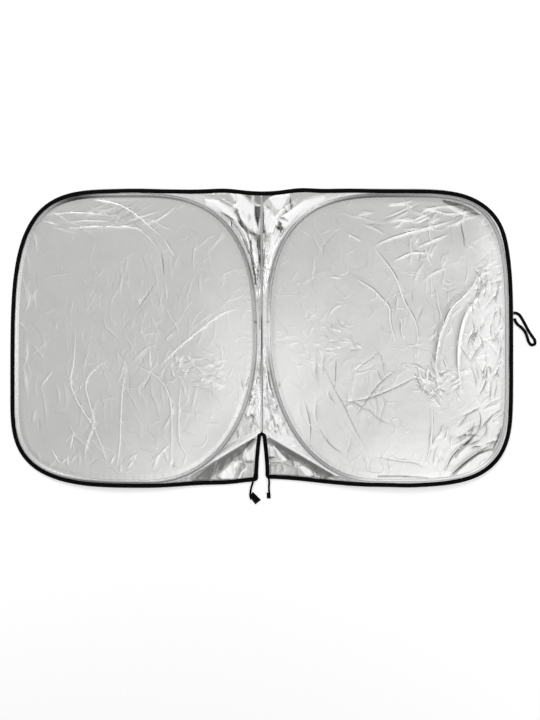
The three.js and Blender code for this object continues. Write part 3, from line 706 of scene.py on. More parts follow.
def grid(name: str, across: int, up: int) -> bpy.types.Object:
    """Adds a flat grid to shape.

    Args:
        name: The piece's name.
        across: Faces along its first direction.
        up: Faces along its second direction.

    Returns:
        The new object, whose vertices run along the first direction row by row.
    """
    bpy.ops.object.select_all(action="DESELECT")
    bpy.ops.mesh.primitive_grid_add(x_subdivisions=across, y_subdivisions=up, size=GRID_SIDE, calc_uvs=True)
    made = bpy.context.object
    made.name = made.data.name = name
    return made


def set_places(made: bpy.types.Object, places: np.ndarray) -> None:
    """Puts the vertices at places in millimetres."""
    made.data.vertices.foreach_set("co", (places * MM).astype(np.float32).ravel())
    made.data.update()


def get_places(made: bpy.types.Object) -> np.ndarray:
    """The places of the vertices in millimetres."""
    places = np.empty(len(made.data.vertices) * 3, np.float32)
    made.data.vertices.foreach_get("co", places)
    return places.reshape(-1, 3).astype(float) / MM


def shares(made: bpy.types.Object) -> np.ndarray:
    """Where each vertex of a new grid lies across and up it, from 0 to 1."""
    return get_places(made)[:, :2] / MM_IN_A_METRE / GRID_SIDE + 0.5


def set_uv(made: bpy.types.Object, uv: np.ndarray) -> None:
    """Writes a place on the piece's map for each vertex, in metres."""
    corners = np.empty(len(made.data.loops), int)
    made.data.loops.foreach_get("vertex_index", corners)
    layer = made.data.uv_layers[0]
    layer.data.foreach_set("uv", (uv[corners] * MM).astype(np.float32).ravel())


def paint(made: bpy.types.Object, name: str, values: np.ndarray) -> None:
    """Writes a number for each vertex, for a finish to read."""
    layer = made.data.attributes.new(name, "FLOAT", "POINT")
    layer.data.foreach_set("value", values.astype(np.float32))


def finish_mesh(made: bpy.types.Object, wall: float = 0.0, bevel: float = 0.0) -> None:
    """Thickens and smooths a piece.

    Args:
        made: The piece.
        wall: Thickness to add below the surface in millimetres, or 0.
        bevel: Width to round the edges by in millimetres, or 0.
    """
    alone(made)
    if wall:
        thicken = made.modifiers.new("wall", "SOLIDIFY")
        thicken.thickness = wall * MM
        thicken.offset = -1
        bpy.ops.object.modifier_apply(modifier=thicken.name)
    if bevel:
        soften = made.modifiers.new("soft edge", "BEVEL")
        soften.width = bevel * MM
        soften.segments = 2
        soften.angle_limit = math.radians(40)
        bpy.ops.object.modifier_apply(modifier=soften.name)
    bpy.ops.object.shade_smooth()


def swept(name: str, line: Line, section: np.ndarray, closed: bool, ring: bool) -> bpy.types.Object:
    """Sweeps a section along a line.

    Args:
        name: The piece's name.
        line: Rows of x, y and z.
        section: Rows of distance along the normal and height, or one such array for each point of the line.
        closed: Whether the line returns to its start.
        ring: Whether the section is closed.

    Returns:
        The swept piece, with a map in metres along and across it.
    """
    sides = normals(line, closed)
    sections = np.broadcast_to(section, (len(line), *section.shape[-2:]))
    if closed:
        line, sides, sections = (np.concatenate([rows, rows[:1]]) for rows in (line, sides, sections))
    if ring:
        sections = np.concatenate([sections, sections[:, :1]], axis=1)
    rows, columns = len(line), sections.shape[1]
    made = grid(name, columns - 1, rows - 1)
    places = np.empty((rows, columns, 3))
    places[:, :, :2] = line[:, None, :2] + sections[:, :, :1] * sides[:, None, :]
    places[:, :, 2] = line[:, None, 2] + sections[:, :, 1]
    set_places(made, places.reshape(-1, 3))
    along = np.concatenate([[0.0], np.cumsum(np.linalg.norm(np.diff(line[:, :2], axis=0), axis=1))])
    girth = np.linalg.norm(np.diff(sections[0], axis=0), axis=1)
    wide = np.concatenate([[0.0], np.cumsum(girth)])
    uv = np.stack(np.broadcast_arrays(along[:, None], wide[None, :]), axis=2).reshape(-1, 2)
    set_uv(made, uv)
    alone(made)
    bpy.ops.object.mode_set(mode="EDIT")
    bpy.ops.mesh.select_all(action="SELECT")
    if ring or closed:
        bpy.ops.mesh.remove_doubles(threshold=0.01 * MM)
    if ring and not closed:
        bpy.ops.mesh.select_all(action="DESELECT")
        bpy.ops.mesh.select_non_manifold()
        bpy.ops.mesh.fill_holes(sides=0)
        bpy.ops.mesh.select_all(action="SELECT")
    bpy.ops.mesh.normals_make_consistent(inside=False)
    bpy.ops.object.mode_set(mode="OBJECT")
    bpy.ops.object.shade_smooth()
    return made


def faces_up(made: bpy.types.Object) -> None:
    """Turns an open strip so that it faces up."""
    normal = np.empty(len(made.data.polygons) * 3, np.float32)
    made.data.polygons.foreach_get("normal", normal)
    if normal.reshape(-1, 3)[:, 2].mean() < 0:
        alone(made)
        bpy.ops.object.mode_set(mode="EDIT")
        bpy.ops.mesh.select_all(action="SELECT")
        bpy.ops.mesh.flip_normals()
        bpy.ops.object.mode_set(mode="OBJECT")


class Signal:
    """A number that changes over a surface, reckoned with as an expression."""

    def __init__(self, recipe: "Recipe", socket: bpy.types.NodeSocket) -> None:
        """Keeps the socket that gives the number."""
        self.recipe, self.socket = recipe, socket

    def _math(self, operation: str, *others: "Signal | float", swapped: bool = False) -> "Signal":
        """Adds a Math node on this number and others."""
        values = [self, *others]
        made = self.recipe.node("ShaderNodeMath", {"operation": operation})
        for socket, value in zip(made.inputs, reversed(values) if swapped else values):
            self.recipe.feed(socket, value)
        return Signal(self.recipe, made.outputs[0])

    def __add__(self, other: "Signal | float") -> "Signal":
        """This number plus another."""
        return self._math("ADD", other)

    def __radd__(self, other: float) -> "Signal":
        """Another number plus this one."""
        return self._math("ADD", other)

    def __sub__(self, other: "Signal | float") -> "Signal":
        """This number less another."""
        return self._math("SUBTRACT", other)

    def __rsub__(self, other: float) -> "Signal":
        """Another number less this one."""
        return self._math("SUBTRACT", other, swapped=True)

    def __mul__(self, other: "Signal | float") -> "Signal":
        """This number times another."""
        return self._math("MULTIPLY", other)

    def __rmul__(self, other: float) -> "Signal":
        """Another number times this one."""
        return self._math("MULTIPLY", other)

    def __truediv__(self, other: "Signal | float") -> "Signal":
        """This number over another."""
        return self._math("DIVIDE", other)

    def __abs__(self) -> "Signal":
        """This number without its sign."""
        return self._math("ABSOLUTE")

    def above_zero(self) -> "Signal":
        """This number where it is above 0, and 0 elsewhere."""
        return self._math("MAXIMUM", 0.0)

    def part(self) -> "Signal":
        """What is left of this number after its whole part."""
        return self._math("FRACT")

    def wave(self) -> "Signal":
        """The sine of this number."""
        return self._math("SINE")

    def below(self, limit: float, blur: float) -> "Signal":
        """Falls from 1 to 0 as this number passes a limit.

        Args:
            limit: The number at which it is a half.
            blur: How far the fall reaches.

        Returns:
            A number from 0 to 1.
        """
        ends = {"From Min": limit - blur / 2, "From Max": limit + blur / 2, "To Min": 1.0, "To Max": 0.0}
        smooth = {"interpolation_type": "SMOOTHSTEP", "clamp": True}
        spread = self.recipe.node("ShaderNodeMapRange", smooth, {"Value": self, **ends})
        return Signal(self.recipe, spread.outputs["Result"])


Colour = tuple[float, float, float, float] | bpy.types.NodeSocket


class Recipe:
    """The node tree of one finish."""

    def __init__(self, name: str) -> None:
        """Starts a material with a principled shader."""
        self.material = bpy.data.materials.new(name)
        self.material.use_nodes = True
        self.tree = self.material.node_tree
        self.tree.nodes.clear()
        output = self.node("ShaderNodeOutputMaterial")
        self.shader = self.node("ShaderNodeBsdfPrincipled")
        self.tree.links.new(self.shader.outputs["BSDF"], output.inputs["Surface"])

    def feed(self, socket: bpy.types.NodeSocket, value: object) -> None:
        """Gives a socket a value, or links it to what gives the value."""
        if isinstance(value, Signal):
            value = value.socket
        if isinstance(value, bpy.types.NodeSocket):
            self.tree.links.new(value, socket)
        else:
            socket.default_value = value

    def node(self, kind: str, settings: dict | None = None, inputs: dict | None = None) -> bpy.types.Node:
        """Adds a node.

        Args:
            kind: The node's type.
            settings: Its own settings, set first.
            inputs: Values or links for its sockets, by name.

        Returns:
            The new node.
        """
        made = self.tree.nodes.new(kind)
        for name, value in (settings or {}).items():
            setattr(made, name, value)
        for name, value in (inputs or {}).items():
            self.feed(made.inputs[name], value)
        return made

    def place(self) -> bpy.types.NodeSocket:
        """The place in the row frame, in metres."""
        return self.node("ShaderNodeTexCoord").outputs["Object"]

    def mapped(self) -> tuple[Signal, Signal]:
        """The distances along and across the piece, in metres."""
        place = self.node("ShaderNodeTexCoord").outputs["UV"]
        parts = self.node("ShaderNodeSeparateXYZ", None, {"Vector": place})
        return Signal(self, parts.outputs["X"]), Signal(self, parts.outputs["Y"])

    def painted(self, name: str) -> Signal:
        """A number that the piece's mesh holds for each vertex."""
        return Signal(self, self.node("ShaderNodeAttribute", {"attribute_name": name}).outputs["Fac"])

    def noise(self, size: float, detail: float = 2.0, roughness: float = 0.5, stretch: float = 1.0) -> Signal:
        """Soft noise from 0 to 1.

        Args:
            size: How wide its patches are, in millimetres.
            detail: How many finer layers it has.
            roughness: How strong the finer layers are.
            stretch: How many times longer the patches are across than up.

        Returns:
            The noise.
        """
        scale = (1.0 / stretch, 1.0, 1.0)
        drawn_out = self.node("ShaderNodeMapping", None, {"Vector": self.place(), "Scale": scale})
        look = {"Scale": 1.0 / (size * MM), "Detail": detail, "Roughness": roughness}
        made = self.node("ShaderNodeTexNoise", None, {"Vector": drawn_out.outputs["Vector"], **look})
        return Signal(self, made.outputs["Fac"])

    def blend(self, share: Signal, first: Colour, second: Colour) -> bpy.types.NodeSocket:
        """Mixes two colours by a share."""
        mix = self.node("ShaderNodeMix", {"data_type": "RGBA"}, {"Factor": share})
        self.feed(mix.inputs[6], first)
        self.feed(mix.inputs[7], second)
        return mix.outputs[2]

    def bumps(self, height: Signal, distance: float, strength: float = 1.0) -> None:
        """Dents the surface.

        Args:
            height: How high it stands, from 0 to 1.
            distance: The height in millimetres that 1 stands for.
            strength: How much of the dent shows.
        """
        bump = self.node(
            "ShaderNodeBump", None, {"Height": height, "Distance": distance * MM, "Strength": strength}
        )
        self.feed(self.shader.inputs["Normal"], bump.outputs["Normal"])


def thread_row(across: Signal, at: float, half: float) -> Signal:
    """The groove of a row of thread, its place and half width in millimetres."""
    return abs(across - at * MM).below(half * MM, 0.4 * MM)


def stitches(along: Signal, on_row: Signal, pitch: float, half: float) -> Signal:
    """The stitches on a row, their pitch in millimetres and half their share of it."""
    return abs((along / (pitch * MM)).part() - 0.5).below(half, 0.1) * on_row


@dataclass(frozen=True)
class SilverCloth:
    """Metal-coated polyester: satin sheen, fine crinkles, painted highlight and painted shade lines along its
    creases, and painted light.

    The tones stand for what the cloth mirrors where the picture was taken, since the lamps don't give that.
    """

    name: str = "silver_cloth"
    shade: Colour = (0.71, 0.71, 0.70, 1.0)
    deep: Colour = (0.62, 0.62, 0.61, 1.0)
    # Colours of the painted highlights and of the painted shade
    bright: Colour = (0.97, 0.97, 0.97, 1.0)
    dark: Colour = (0.07, 0.07, 0.068, 1.0)
    metallic: float = 0.86
    roughness: float = 0.35
    # Where a crease's painted highlight and the painted shade beside it lie, and how far painted light takes
    # the colour
    crest_half: float = 1.8
    trough_at: float = 4.1
    reach: float = 0.9

    def make(self) -> bpy.types.Material:
        """Mixes the finish."""
        recipe = Recipe(self.name)
        away, mark = recipe.painted("away"), recipe.painted("mark")
        # Painted highlight along each crease's crest, and painted shade in the trough beside it
        crest = mark * abs(away).below(self.crest_half, 1.8)
        trough = mark * abs(away - self.trough_at).below(1.4, 1.7)
        tone = recipe.painted("tone") + crest * 1.25 - trough * 0.55
        crumpled = recipe.painted("crumpled")
        clouds = recipe.noise(70.0, 3.0, 0.55)
        cloth = recipe.blend(clouds, self.deep, self.shade)
        # Painted highlights blend towards white and lose their metal; painted shade blends towards black
        with_painted_highlight = recipe.blend(tone.above_zero() * self.reach, cloth, self.bright)
        with_painted_light = recipe.blend((0.0 - tone).above_zero() * self.reach, with_painted_highlight, self.dark)
        recipe.feed(recipe.shader.inputs["Base Color"], with_painted_light)
        recipe.feed(recipe.shader.inputs["Metallic"], self.metallic - tone.above_zero() * 0.66)
        recipe.feed(recipe.shader.inputs["Roughness"], self.roughness + recipe.noise(9.0) * 0.05)
        crinkles = recipe.noise(13.0, 4.0, 0.55)
        broken = recipe.noise(88.0, 1.0).below(0.5, 0.1)
        creases = abs(recipe.noise(64.0, 1.5, 0.4) - 0.5).below(0.012, 0.016) * broken
        weave = recipe.noise(2.0, 1.0) * 0.012
        relief = crinkles * (0.06 + crumpled * 0.9) + weave + creases * 0.14 + crest * 0.2
        recipe.bumps(relief, 1.6, 1.0)
        return recipe.material


@dataclass(frozen=True)
class SilverTape:
    """Casing and seam tape: the same coated cloth with rows of stitches, and painted highlights and painted
    shade.
    """

    name: str = "silver_tape"
    width: float = 13.0
    rows: tuple[float, ...] = (1.6, 11.4)
    pitch: float = 4.4
    shade: Colour = (0.50, 0.50, 0.50, 1.0)
    thread: Colour = (0.14, 0.14, 0.14, 1.0)
    # Colours of the painted highlights and of the painted shade
    bright: Colour = (0.95, 0.95, 0.95, 1.0)
    dark: Colour = (0.03, 0.03, 0.03, 1.0)

    def make(self) -> bpy.types.Material:
        """Mixes the finish."""
        recipe = Recipe(self.name)
        along, across = recipe.mapped()
        on_row = None
        for row in self.rows:
            line = thread_row(across, row, 0.55)
            on_row = line if on_row is None else on_row + line
        stitch = stitches(along, on_row, self.pitch, 0.28)
        # Painted highlights and painted shade, read from the piece's mesh
        tone = recipe.painted("tone")
        with_painted_highlight = recipe.blend(tone.above_zero(), self.shade, self.bright)
        with_painted_light = recipe.blend((0.0 - tone).above_zero(), with_painted_highlight, self.dark)
        recipe.feed(recipe.shader.inputs["Base Color"], recipe.blend(stitch, with_painted_light, self.thread))
        recipe.feed(recipe.shader.inputs["Metallic"], 0.78 - stitch * 0.6 - tone.above_zero() * 0.6)
        recipe.feed(recipe.shader.inputs["Roughness"], 0.40 + stitch * 0.2)
        pull = (along * (2 * math.pi / (7.5 * MM)) + recipe.noise(22.0) * 9.0).wave()
        recipe.bumps(recipe.noise(5.0, 3.0) * 0.5 + pull * 0.16 - on_row * 0.35 + stitch * 0.3, 0.9, 0.9)
        return recipe.material


@dataclass(frozen=True)
class BlackTape:
    """Black polyester tape: ribs across it, and a slightly lighter row of thread."""

    name: str = "black_tape"
    thread_row: float | None = None
    shade: Colour = (0.001, 0.001, 0.001, 1.0)
    rubbed: Colour = (0.005, 0.005, 0.005, 1.0)
    thread: Colour = (0.030, 0.030, 0.030, 1.0)
    rib: float = 0.9
    stitch: float = 4.0

    def make(self) -> bpy.types.Material:
        """Mixes the finish."""
        recipe = Recipe(self.name)
        along, across = recipe.mapped()
        ribs = (along * (2 * math.pi / (self.rib * MM))).wave() * 0.5 + 0.5
        strands = (across * (2 * math.pi / (0.8 * MM))).wave() * 0.5 + 0.5
        weave = ribs * 0.6 + strands * 0.4
        colour = recipe.blend(recipe.noise(14.0, 3.0) * 0.8 + weave * 0.2, self.shade, self.rubbed)
        relief = weave * 0.5 + recipe.noise(6.0, 2.0) * 0.5
        if self.thread_row is not None:
            on_row = thread_row(across, self.thread_row, 0.5)
            thread = stitches(along, on_row, self.stitch, 0.32)
            colour = recipe.blend(thread, colour, self.thread)
            relief = relief - on_row * 0.6 + thread * 0.8
        recipe.feed(recipe.shader.inputs["Base Color"], colour)
        recipe.feed(recipe.shader.inputs["Roughness"], 0.62 + recipe.noise(8.0) * 0.16)
        recipe.feed(recipe.shader.inputs["Specular IOR Level"], 0.03)
        recipe.bumps(relief, 0.35, 0.8)
        return recipe.material


@dataclass(frozen=True)
class SpringSteel:
    """Drawn wire, hidden inside its casing."""

    name: str = "spring_steel"

    def make(self) -> bpy.types.Material:
        """Mixes the finish."""
        recipe = Recipe(self.name)
        drawn = recipe.noise(2.0, 2.0, 0.5, 6.0)
        colour = recipe.blend(drawn, (0.30, 0.31, 0.32, 1.0), (0.46, 0.47, 0.48, 1.0))
        recipe.feed(recipe.shader.inputs["Base Color"], colour)
        recipe.feed(recipe.shader.inputs["Metallic"], 1.0)
        recipe.feed(recipe.shader.inputs["Roughness"], 0.26 + drawn * 0.14)
        recipe.bumps(drawn, 0.05, 0.5)
        return recipe.material


class Slot(Enum):
    """The names of the record's material slots."""

    CLOTH = "silver_cloth"
    TAPE = "silver_tape"
    BINDING = "black_tape"
    ELASTIC = "black_elastic"
    TAB = "black_hook_tape"


def dress(made: bpy.types.Object, material: bpy.types.Material, replaced: Sequence[str]) -> None:
    """Gives a piece its finish, its body and the CAD nodes that it stands for."""
    made.data.materials.clear()
    made.data.materials.append(material)
    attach(made, BODY)
    if replaced:
        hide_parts(*replaced)
    LOG.info("%s: %d faces", made.name, len(made.data.polygons))


# Creases, each with a painted highlight line, painted shade where its value is negative: name, line in the
# picture, height, width, and more where it isn't the usual
LEFT_FOLDS = (
    Fold("top left long fold", ((93, 200), (119, 205), (138, 216.5), (150, 227), (160, 235)),
        1.23, 3.17, tone=1),
    Fold("top left level fold", ((46, 215), (74, 213), (114, 216)), 1.0, 2.88, tone=0.7),
    Fold("top left short fold", ((43, 221), (58, 225)), 0.77, 2.59, tone=0.65),
    Fold("top left second level fold", ((69, 222), (90, 221), (112, 222)), 0.77, 2.59, tone=0.65),
    Fold("top left bowed fold", ((53, 229), (100, 227), (133, 228), (146, 235), (158, 249)),
        1.15, 3.17, tone=0.8),
    Fold("hanging fold beside the hoop", ((161, 251), (163, 263), (164, 275)), -0.84, 2.88, tone=-0.45),
    Fold("slanting fold beside the hoop", ((164, 239), (174, 256)), 0.77, 2.59, tone=0.65),
    Fold("falling fold from the top", ((155, 283), (146, 297), (136, 311)), -0.69, 2.59, tone=-0.35),
    Fold("long bright diagonal", ((236, 309), (219, 316), (188, 340), (172, 354), (162, 364)),
        1.15, 2.59, tone=0.98),
    Fold("left tall fold", ((76, 330), (74, 361), (71, 383), (79, 404), (93, 426), (102, 447), (108, 466)),
        1.08, 2.88, tone=0.62),
    Fold("left hooked fold", ((110, 359), (96, 368), (86, 383), (90, 404), (94, 423), (86, 447), (85, 464)),
        1.0, 2.88, tone=0.55),
    Fold("middle tall fold", ((127, 364), (123, 387), (121, 420), (120, 444), (117, 466)),
        1.0, 2.77, tone=0.55),
    Fold("arched fold", ((131, 364), (151, 373), (162, 382), (170, 399), (172, 426), (171, 457)),
        1.15, 2.88, tone=0.6),
    Fold("right tall fold", ((181, 383), (179, 409), (180, 442), (191, 459)), 0.92, 2.65, tone=0.5),
    Fold("cross fold", ((151, 375), (143, 390)), -0.61, 2.3, tone=-0.35),
    Fold("upright fold", ((150, 347), (150, 368)), 0.69, 2.3, tone=0.59),
    Fold("lower slant", ((170, 444), (151, 463)), 0.77, 2.59, tone=0.65),
    Fold("corner arc", ((52, 449), (56, 457), (61, 464)), 0.92, 2.88, tone=0.78),
    Fold("corner tension", ((74, 432), (72, 441), (70, 450)), 0.69, 2.3, tone=0.59),
)

RIGHT_FOLDS = (
    Fold("top short fold", ((347, 234), (361, 241)), 0.84, 2.59, tone=0.72),
    Fold("sweeping fold", ((373, 247), (394, 275), (404, 301), (415, 322), (418, 340)), 1.23, 2.99, tone=1),
    Fold("rising fold", ((375, 246), (390, 239), (413, 232), (435, 226), (452, 221)),
        1.08, 2.88, tone=0.92),
    Fold("level tick", ((330, 277), (341, 278)), 0.61, 2.3, tone=0.52),
    Fold("inner bow", ((356, 279), (372, 289), (380, 297), (389, 308), (390, 322), (395, 340)),
        1.08, 2.88, tone=0.92),
    Fold("upper right level fold", ((394, 261), (413, 253), (432, 254)), 0.92, 2.77, tone=0.78),
    Fold("upper right slant", ((418, 247), (447, 235)), 0.92, 2.77, tone=0.78),
    Fold("broad inner fold", ((439, 390), (436, 365), (439, 340), (444, 325), (452, 308), (465, 296),
        (477, 280), (487, 266)), 4.0, 9.0, 1.5),
    Fold("broad outer fold", ((461, 390), (458, 365), (459, 340), (465, 316), (477, 299), (490, 282)),
        4.0, 8.0, 1.5),
    Fold("lower bow", ((344, 406), (353, 401), (366, 399), (390, 390), (418, 376)), -0.45, 2.7, tone=-0.5),
    Fold("lower long fall", ((322, 363), (335, 390), (344, 406), (353, 425), (366, 450)),
        -0.4, 2.6, tone=-0.35),
    Fold("upright crease", ((336, 356), (335, 388)), -0.4, 2.5, tone=-0.45),
    Fold("crossing rise", ((356, 416), (366, 401), (380, 383), (399, 368)), -0.4, 2.6, tone=-0.45),
    Fold("lower upright", ((432, 407), (431, 440), (426, 464)), 1.0, 2.77, tone=0.85),
    Fold("corner pull, low", ((449, 476), (463, 464), (477, 454), (492, 449)),
        2.6, 4.5, lean=0.4, tone=-1.0),
    Fold("corner pull, middle", ((444, 473), (454, 454), (477, 433)), 1.6, 3.6, lean=0.3, tone=-0.9),
    Fold("corner pull, steep", ((492, 450), (498, 438), (502, 426)), 1.6, 3.6, lean=0.3, tone=-0.9),
    Fold("rim pull", ((506, 411), (492, 420)), 1.15, 2.88, tone=0.98),
    Fold("bottom level fold", ((425, 468), (415, 463), (399, 461), (377, 457)), -0.3, 2.6, tone=-0.3),
    Fold("inner low fall", ((304, 399), (310, 423), (310, 442)), -0.5, 2.6, tone=-0.6),
    Fold("inner low slant", ((316, 423), (328, 442), (342, 454)), -0.45, 2.6, tone=-0.5),
)

# Crumpled patches: name, middle, half width and height in the picture, count, heading and spread, then the
# ranges of length, height and width, the seed and the share of fine crinkles
LEFT_CRUMPLES = (
    Crumple("left crumple cluster", (183, 367),
        15, 13, 26, 60, 90, (15, 45), (0.3, 0.9), (2.4, 3.4), 11, 0.15),
    Crumple("left ripples", (213, 372), 18, 19, 44, 178, 11, (15, 45), (0.3, 0.8), (2.2, 3.0), 12, 0.05),
    Crumple("left fine streaks", (120, 340), 75, 60, 80, 88, 8, (15, 50), (0.12, 0.34), (2.2, 3.0), 36),
    Crumple("left lower half", (120, 405), 80, 60, 34, 85, 40, (40, 120), (0.15, 0.55), (2.4, 3.8), 13),
    Crumple("left top", (95, 218), 60, 16, 26, 4, 16, (50, 140), (0.25, 0.8), (2.4, 3.8), 14, 0.1),
    Crumple("left rim", (35, 330), 12, 110, 26, 90, 25, (30, 90), (0.25, 0.75), (2.4, 3.8), 15, 0.12),
    Crumple("left middle lines", (150, 320), 45, 60, 34, 95, 25, (30, 90), (0.2, 0.55), (2.4, 3.6), 19),
    Crumple("left inner side", (215, 300), 28, 90, 26, 60, 50, (30, 90), (0.15, 0.45), (2.4, 3.8), 16),
    Crumple("left bottom edge", (110, 465), 80, 9, 24, 80, 30, (18, 45), (0.25, 0.8), (2.4, 3.6), 17, 0.08),
    Crumple("left all over", (130, 335), 105, 125, 60, 40, 90, (30, 90), (0.1, 0.32), (2.4, 4.0), 18),
)

RIGHT_CRUMPLES = (
    Crumple("bright rim", (486, 345), 20, 60, 84, 82, 35, (25, 80), (-1.8, -0.5), (2.6, 4.2), 21, 0.5),
    Crumple("upper rim", (480, 265), 22, 40, 40, 40, 35, (25, 80), (-1.2, 1.2), (2.6, 4.4), 31, 0.3),
    Crumple("crosshatch falling", (444, 386),
        26, 22, 26, 130, 10, (20, 60), (0.9, 1.7), (2.2, 2.8), 22, 0.05),
    Crumple("crosshatch rising", (448, 388), 26, 22, 22, 45, 10, (18, 50), (0.8, 1.5), (2.2, 2.8), 32, 0.0),
    Crumple("lower right", (478, 430), 24, 24, 30, 45, 30, (25, 80), (-1.5, -0.4), (2.4, 3.6), 23, 0.2),
    Crumple("lower right fan", (445, 452), 20, 16, 14, 62, 18, (30, 80), (0.4, 1.2), (2.6, 4.4), 33, 0.1),
    Crumple("right top", (410, 215), 75, 16, 36, 12, 25, (40, 120), (0.5, 1.4), (2.5, 4.2), 24, 0.15),
    Crumple("right middle waves", (320, 345),
        45, 22, 46, 160, 35, (15, 50), (0.3, 0.8), (2.4, 3.6), 29, 0.08),
    Crumple("right lower half", (350, 410), 50, 50, 30, 105, 40, (30, 100), (-0.7, -0.2), (2.5, 4.0), 25),
    Crumple("right inner side", (310, 300), 28, 90, 24, 100, 50, (30, 90), (0.15, 0.55), (2.4, 3.8), 26),
    Crumple("right bottom edge", (400, 467), 70, 7, 14, 70, 50, (12, 40), (0.2, 0.5), (2.4, 3.6), 27, 0.08),
    Crumple("right middle lines", (425, 300),
        30, 60, 36, 70, 30, (25, 80), (0.4, 1.1), (2.5, 4.0), 30, 0.05),
    Crumple("right all over", (390, 335), 105, 125, 60, 140, 90, (30, 90), (0.1, 0.36), (2.4, 4.0), 28),
)

# Flats of the gathered web and others, with their painted highlights and painted shade: name, outline in the
# picture, painted light, rise, heading and blur
LEFT_FACETS = (
    Crumple("upper web creases", (241, 214),
        15, 20, 16, 70, 60, (15, 50), (-2.0, -0.6), (2.4, 3.6), 41, 0.2),
    Crumple("middle web creases", (256, 262),
        4, 30, 26, 82, 12, (25, 70), (-2.0, -0.6), (2.4, 3.4), 43, 0.3),
    Crumple("lower web creases", (251, 400),
        8, 30, 40, 70, 45, (12, 45), (-2.0, -0.5), (2.4, 3.6), 44, 0.5),
    Facet("grey flat by the top edge", ((205, 193.4), (227.2, 193.4), (237.1, 202.6), (231.8, 207.2),
        (218.8, 200.3), (205, 197.2)), -0.05, 1.0, 90),
    Facet("white flat below the edge", ((228.7, 192.7), (241, 193.4), (247.8, 200.3), (254, 207.2),
        (254, 215.6), (258.6, 229.4), (254, 231.7), (247.8, 226.3), (243.3, 223.3), (238.7, 210.2),
        (232.5, 207.2), (237.1, 203.4)), 1.0, 3.5, 210),
    Facet("white band along the hoop, left", ((205, 199.5), (218.8, 201), (231.8, 208.7), (238.7, 220.2),
        (237.1, 221.7), (228, 215.6), (217.2, 211.8), (205, 204.9)), 1.0, 2.0, 120),
    Facet("dark slit", ((219, 211.2), (227, 214.5), (234.5, 219.6), (233.5, 221), (226, 216.2)),
        -0.8, blur=1.5),
    Facet("grey trough", ((233.3, 210.2), (237.9, 209.5), (241, 217.9), (244.8, 224.8), (250.9, 230.9),
        (258.6, 234), (258.6, 237.8), (247.8, 234), (240.2, 226.3), (238.7, 217.9)), -0.7, -2.0, 60),
    Facet("soft grey in the white flat", ((247, 216), (250, 212), (252, 218), (249, 222)), 0.25, blur=3.0),
    Facet("narrow dark triangle", ((254, 205.7), (260.3, 205.7), (260.3, 216), (258, 228), (255, 219.4)),
        -0.95, -1.5, 0, 1.5),
    Facet("grey flat at the seam's top", ((244, 195), (252.4, 195), (250.9, 201.8), (246.3, 197.2)),
        -0.6, 1.0, 90),
    Facet("dusk at the seam's top", ((254, 194), (262, 194), (262, 204.9), (258.6, 204.9), (254, 201.8)),
        -0.6),
    Facet("small glint", ((251.5, 203.5), (254, 203), (254.5, 208), (252.5, 207)), 1.0, 1.0, 0, 1.0),
    Facet("grey strip", ((241.7, 237), (247.8, 241.6), (250.9, 253.9), (247.8, 253.9)), -0.4, 1.0),
    Facet("dark strip", ((249.2, 240), (251.7, 240), (254, 262), (257, 285), (255, 285), (250.5, 262)),
        -0.85, -1.5, 0, 1.6),
    Facet("white strip", ((251.7, 238.6), (254.7, 238.6), (258.6, 250), (259, 262), (255, 262),
        (252.4, 246.2)), 1.0, 2.0, 180, 1.6),
    Facet("dark strip at the seam", ((255, 235.5), (260.5, 234.7), (261.6, 270), (260, 270)),
        -0.65, -1.0, 0, 1.6),
    Facet("thin dark strip", ((257, 270), (258.2, 270), (260, 300), (260.6, 330), (259.4, 330),
        (258.6, 300)), -0.8, blur=1.2),
    Facet("lower dark flat", ((249, 395), (253, 392), (252, 401), (248, 407)), -0.7, 1.0, 0, 2.5),
    Facet("flat above the apex", ((247, 415), (255, 420), (257, 429), (250, 424)), -0.6, 1.0, 45, 3.0),
    Facet("line to the apex, left", ((250.5, 417), (252.5, 416), (258, 424), (261.5, 430), (255, 425)),
        -0.7, blur=1.3),
    Facet("grey by the apex, left", ((250, 424), (254, 422), (259, 430), (256, 432.5), (251, 431)),
        -0.35, 1.0, 45),
    Facet("grey sliver, left", ((236, 431), (239, 429), (240, 437), (237, 440)), -0.5, 0.5, 0, 1.8),
    Facet("grey above the left hem", ((204, 459), (240, 437.5), (242, 439.5), (206, 463)), -0.3),
    Facet("dusk over the left hem", ((243, 418), (252, 408), (261, 430), (236, 446)), -0.2, blur=9.0),
    PaintedSheen("bright inner side, left", (240, 365), 34, 75, 0.42, 8),
    PaintedSheen("bright foot, left", (140, 480), 110, 26, 0.12),
)

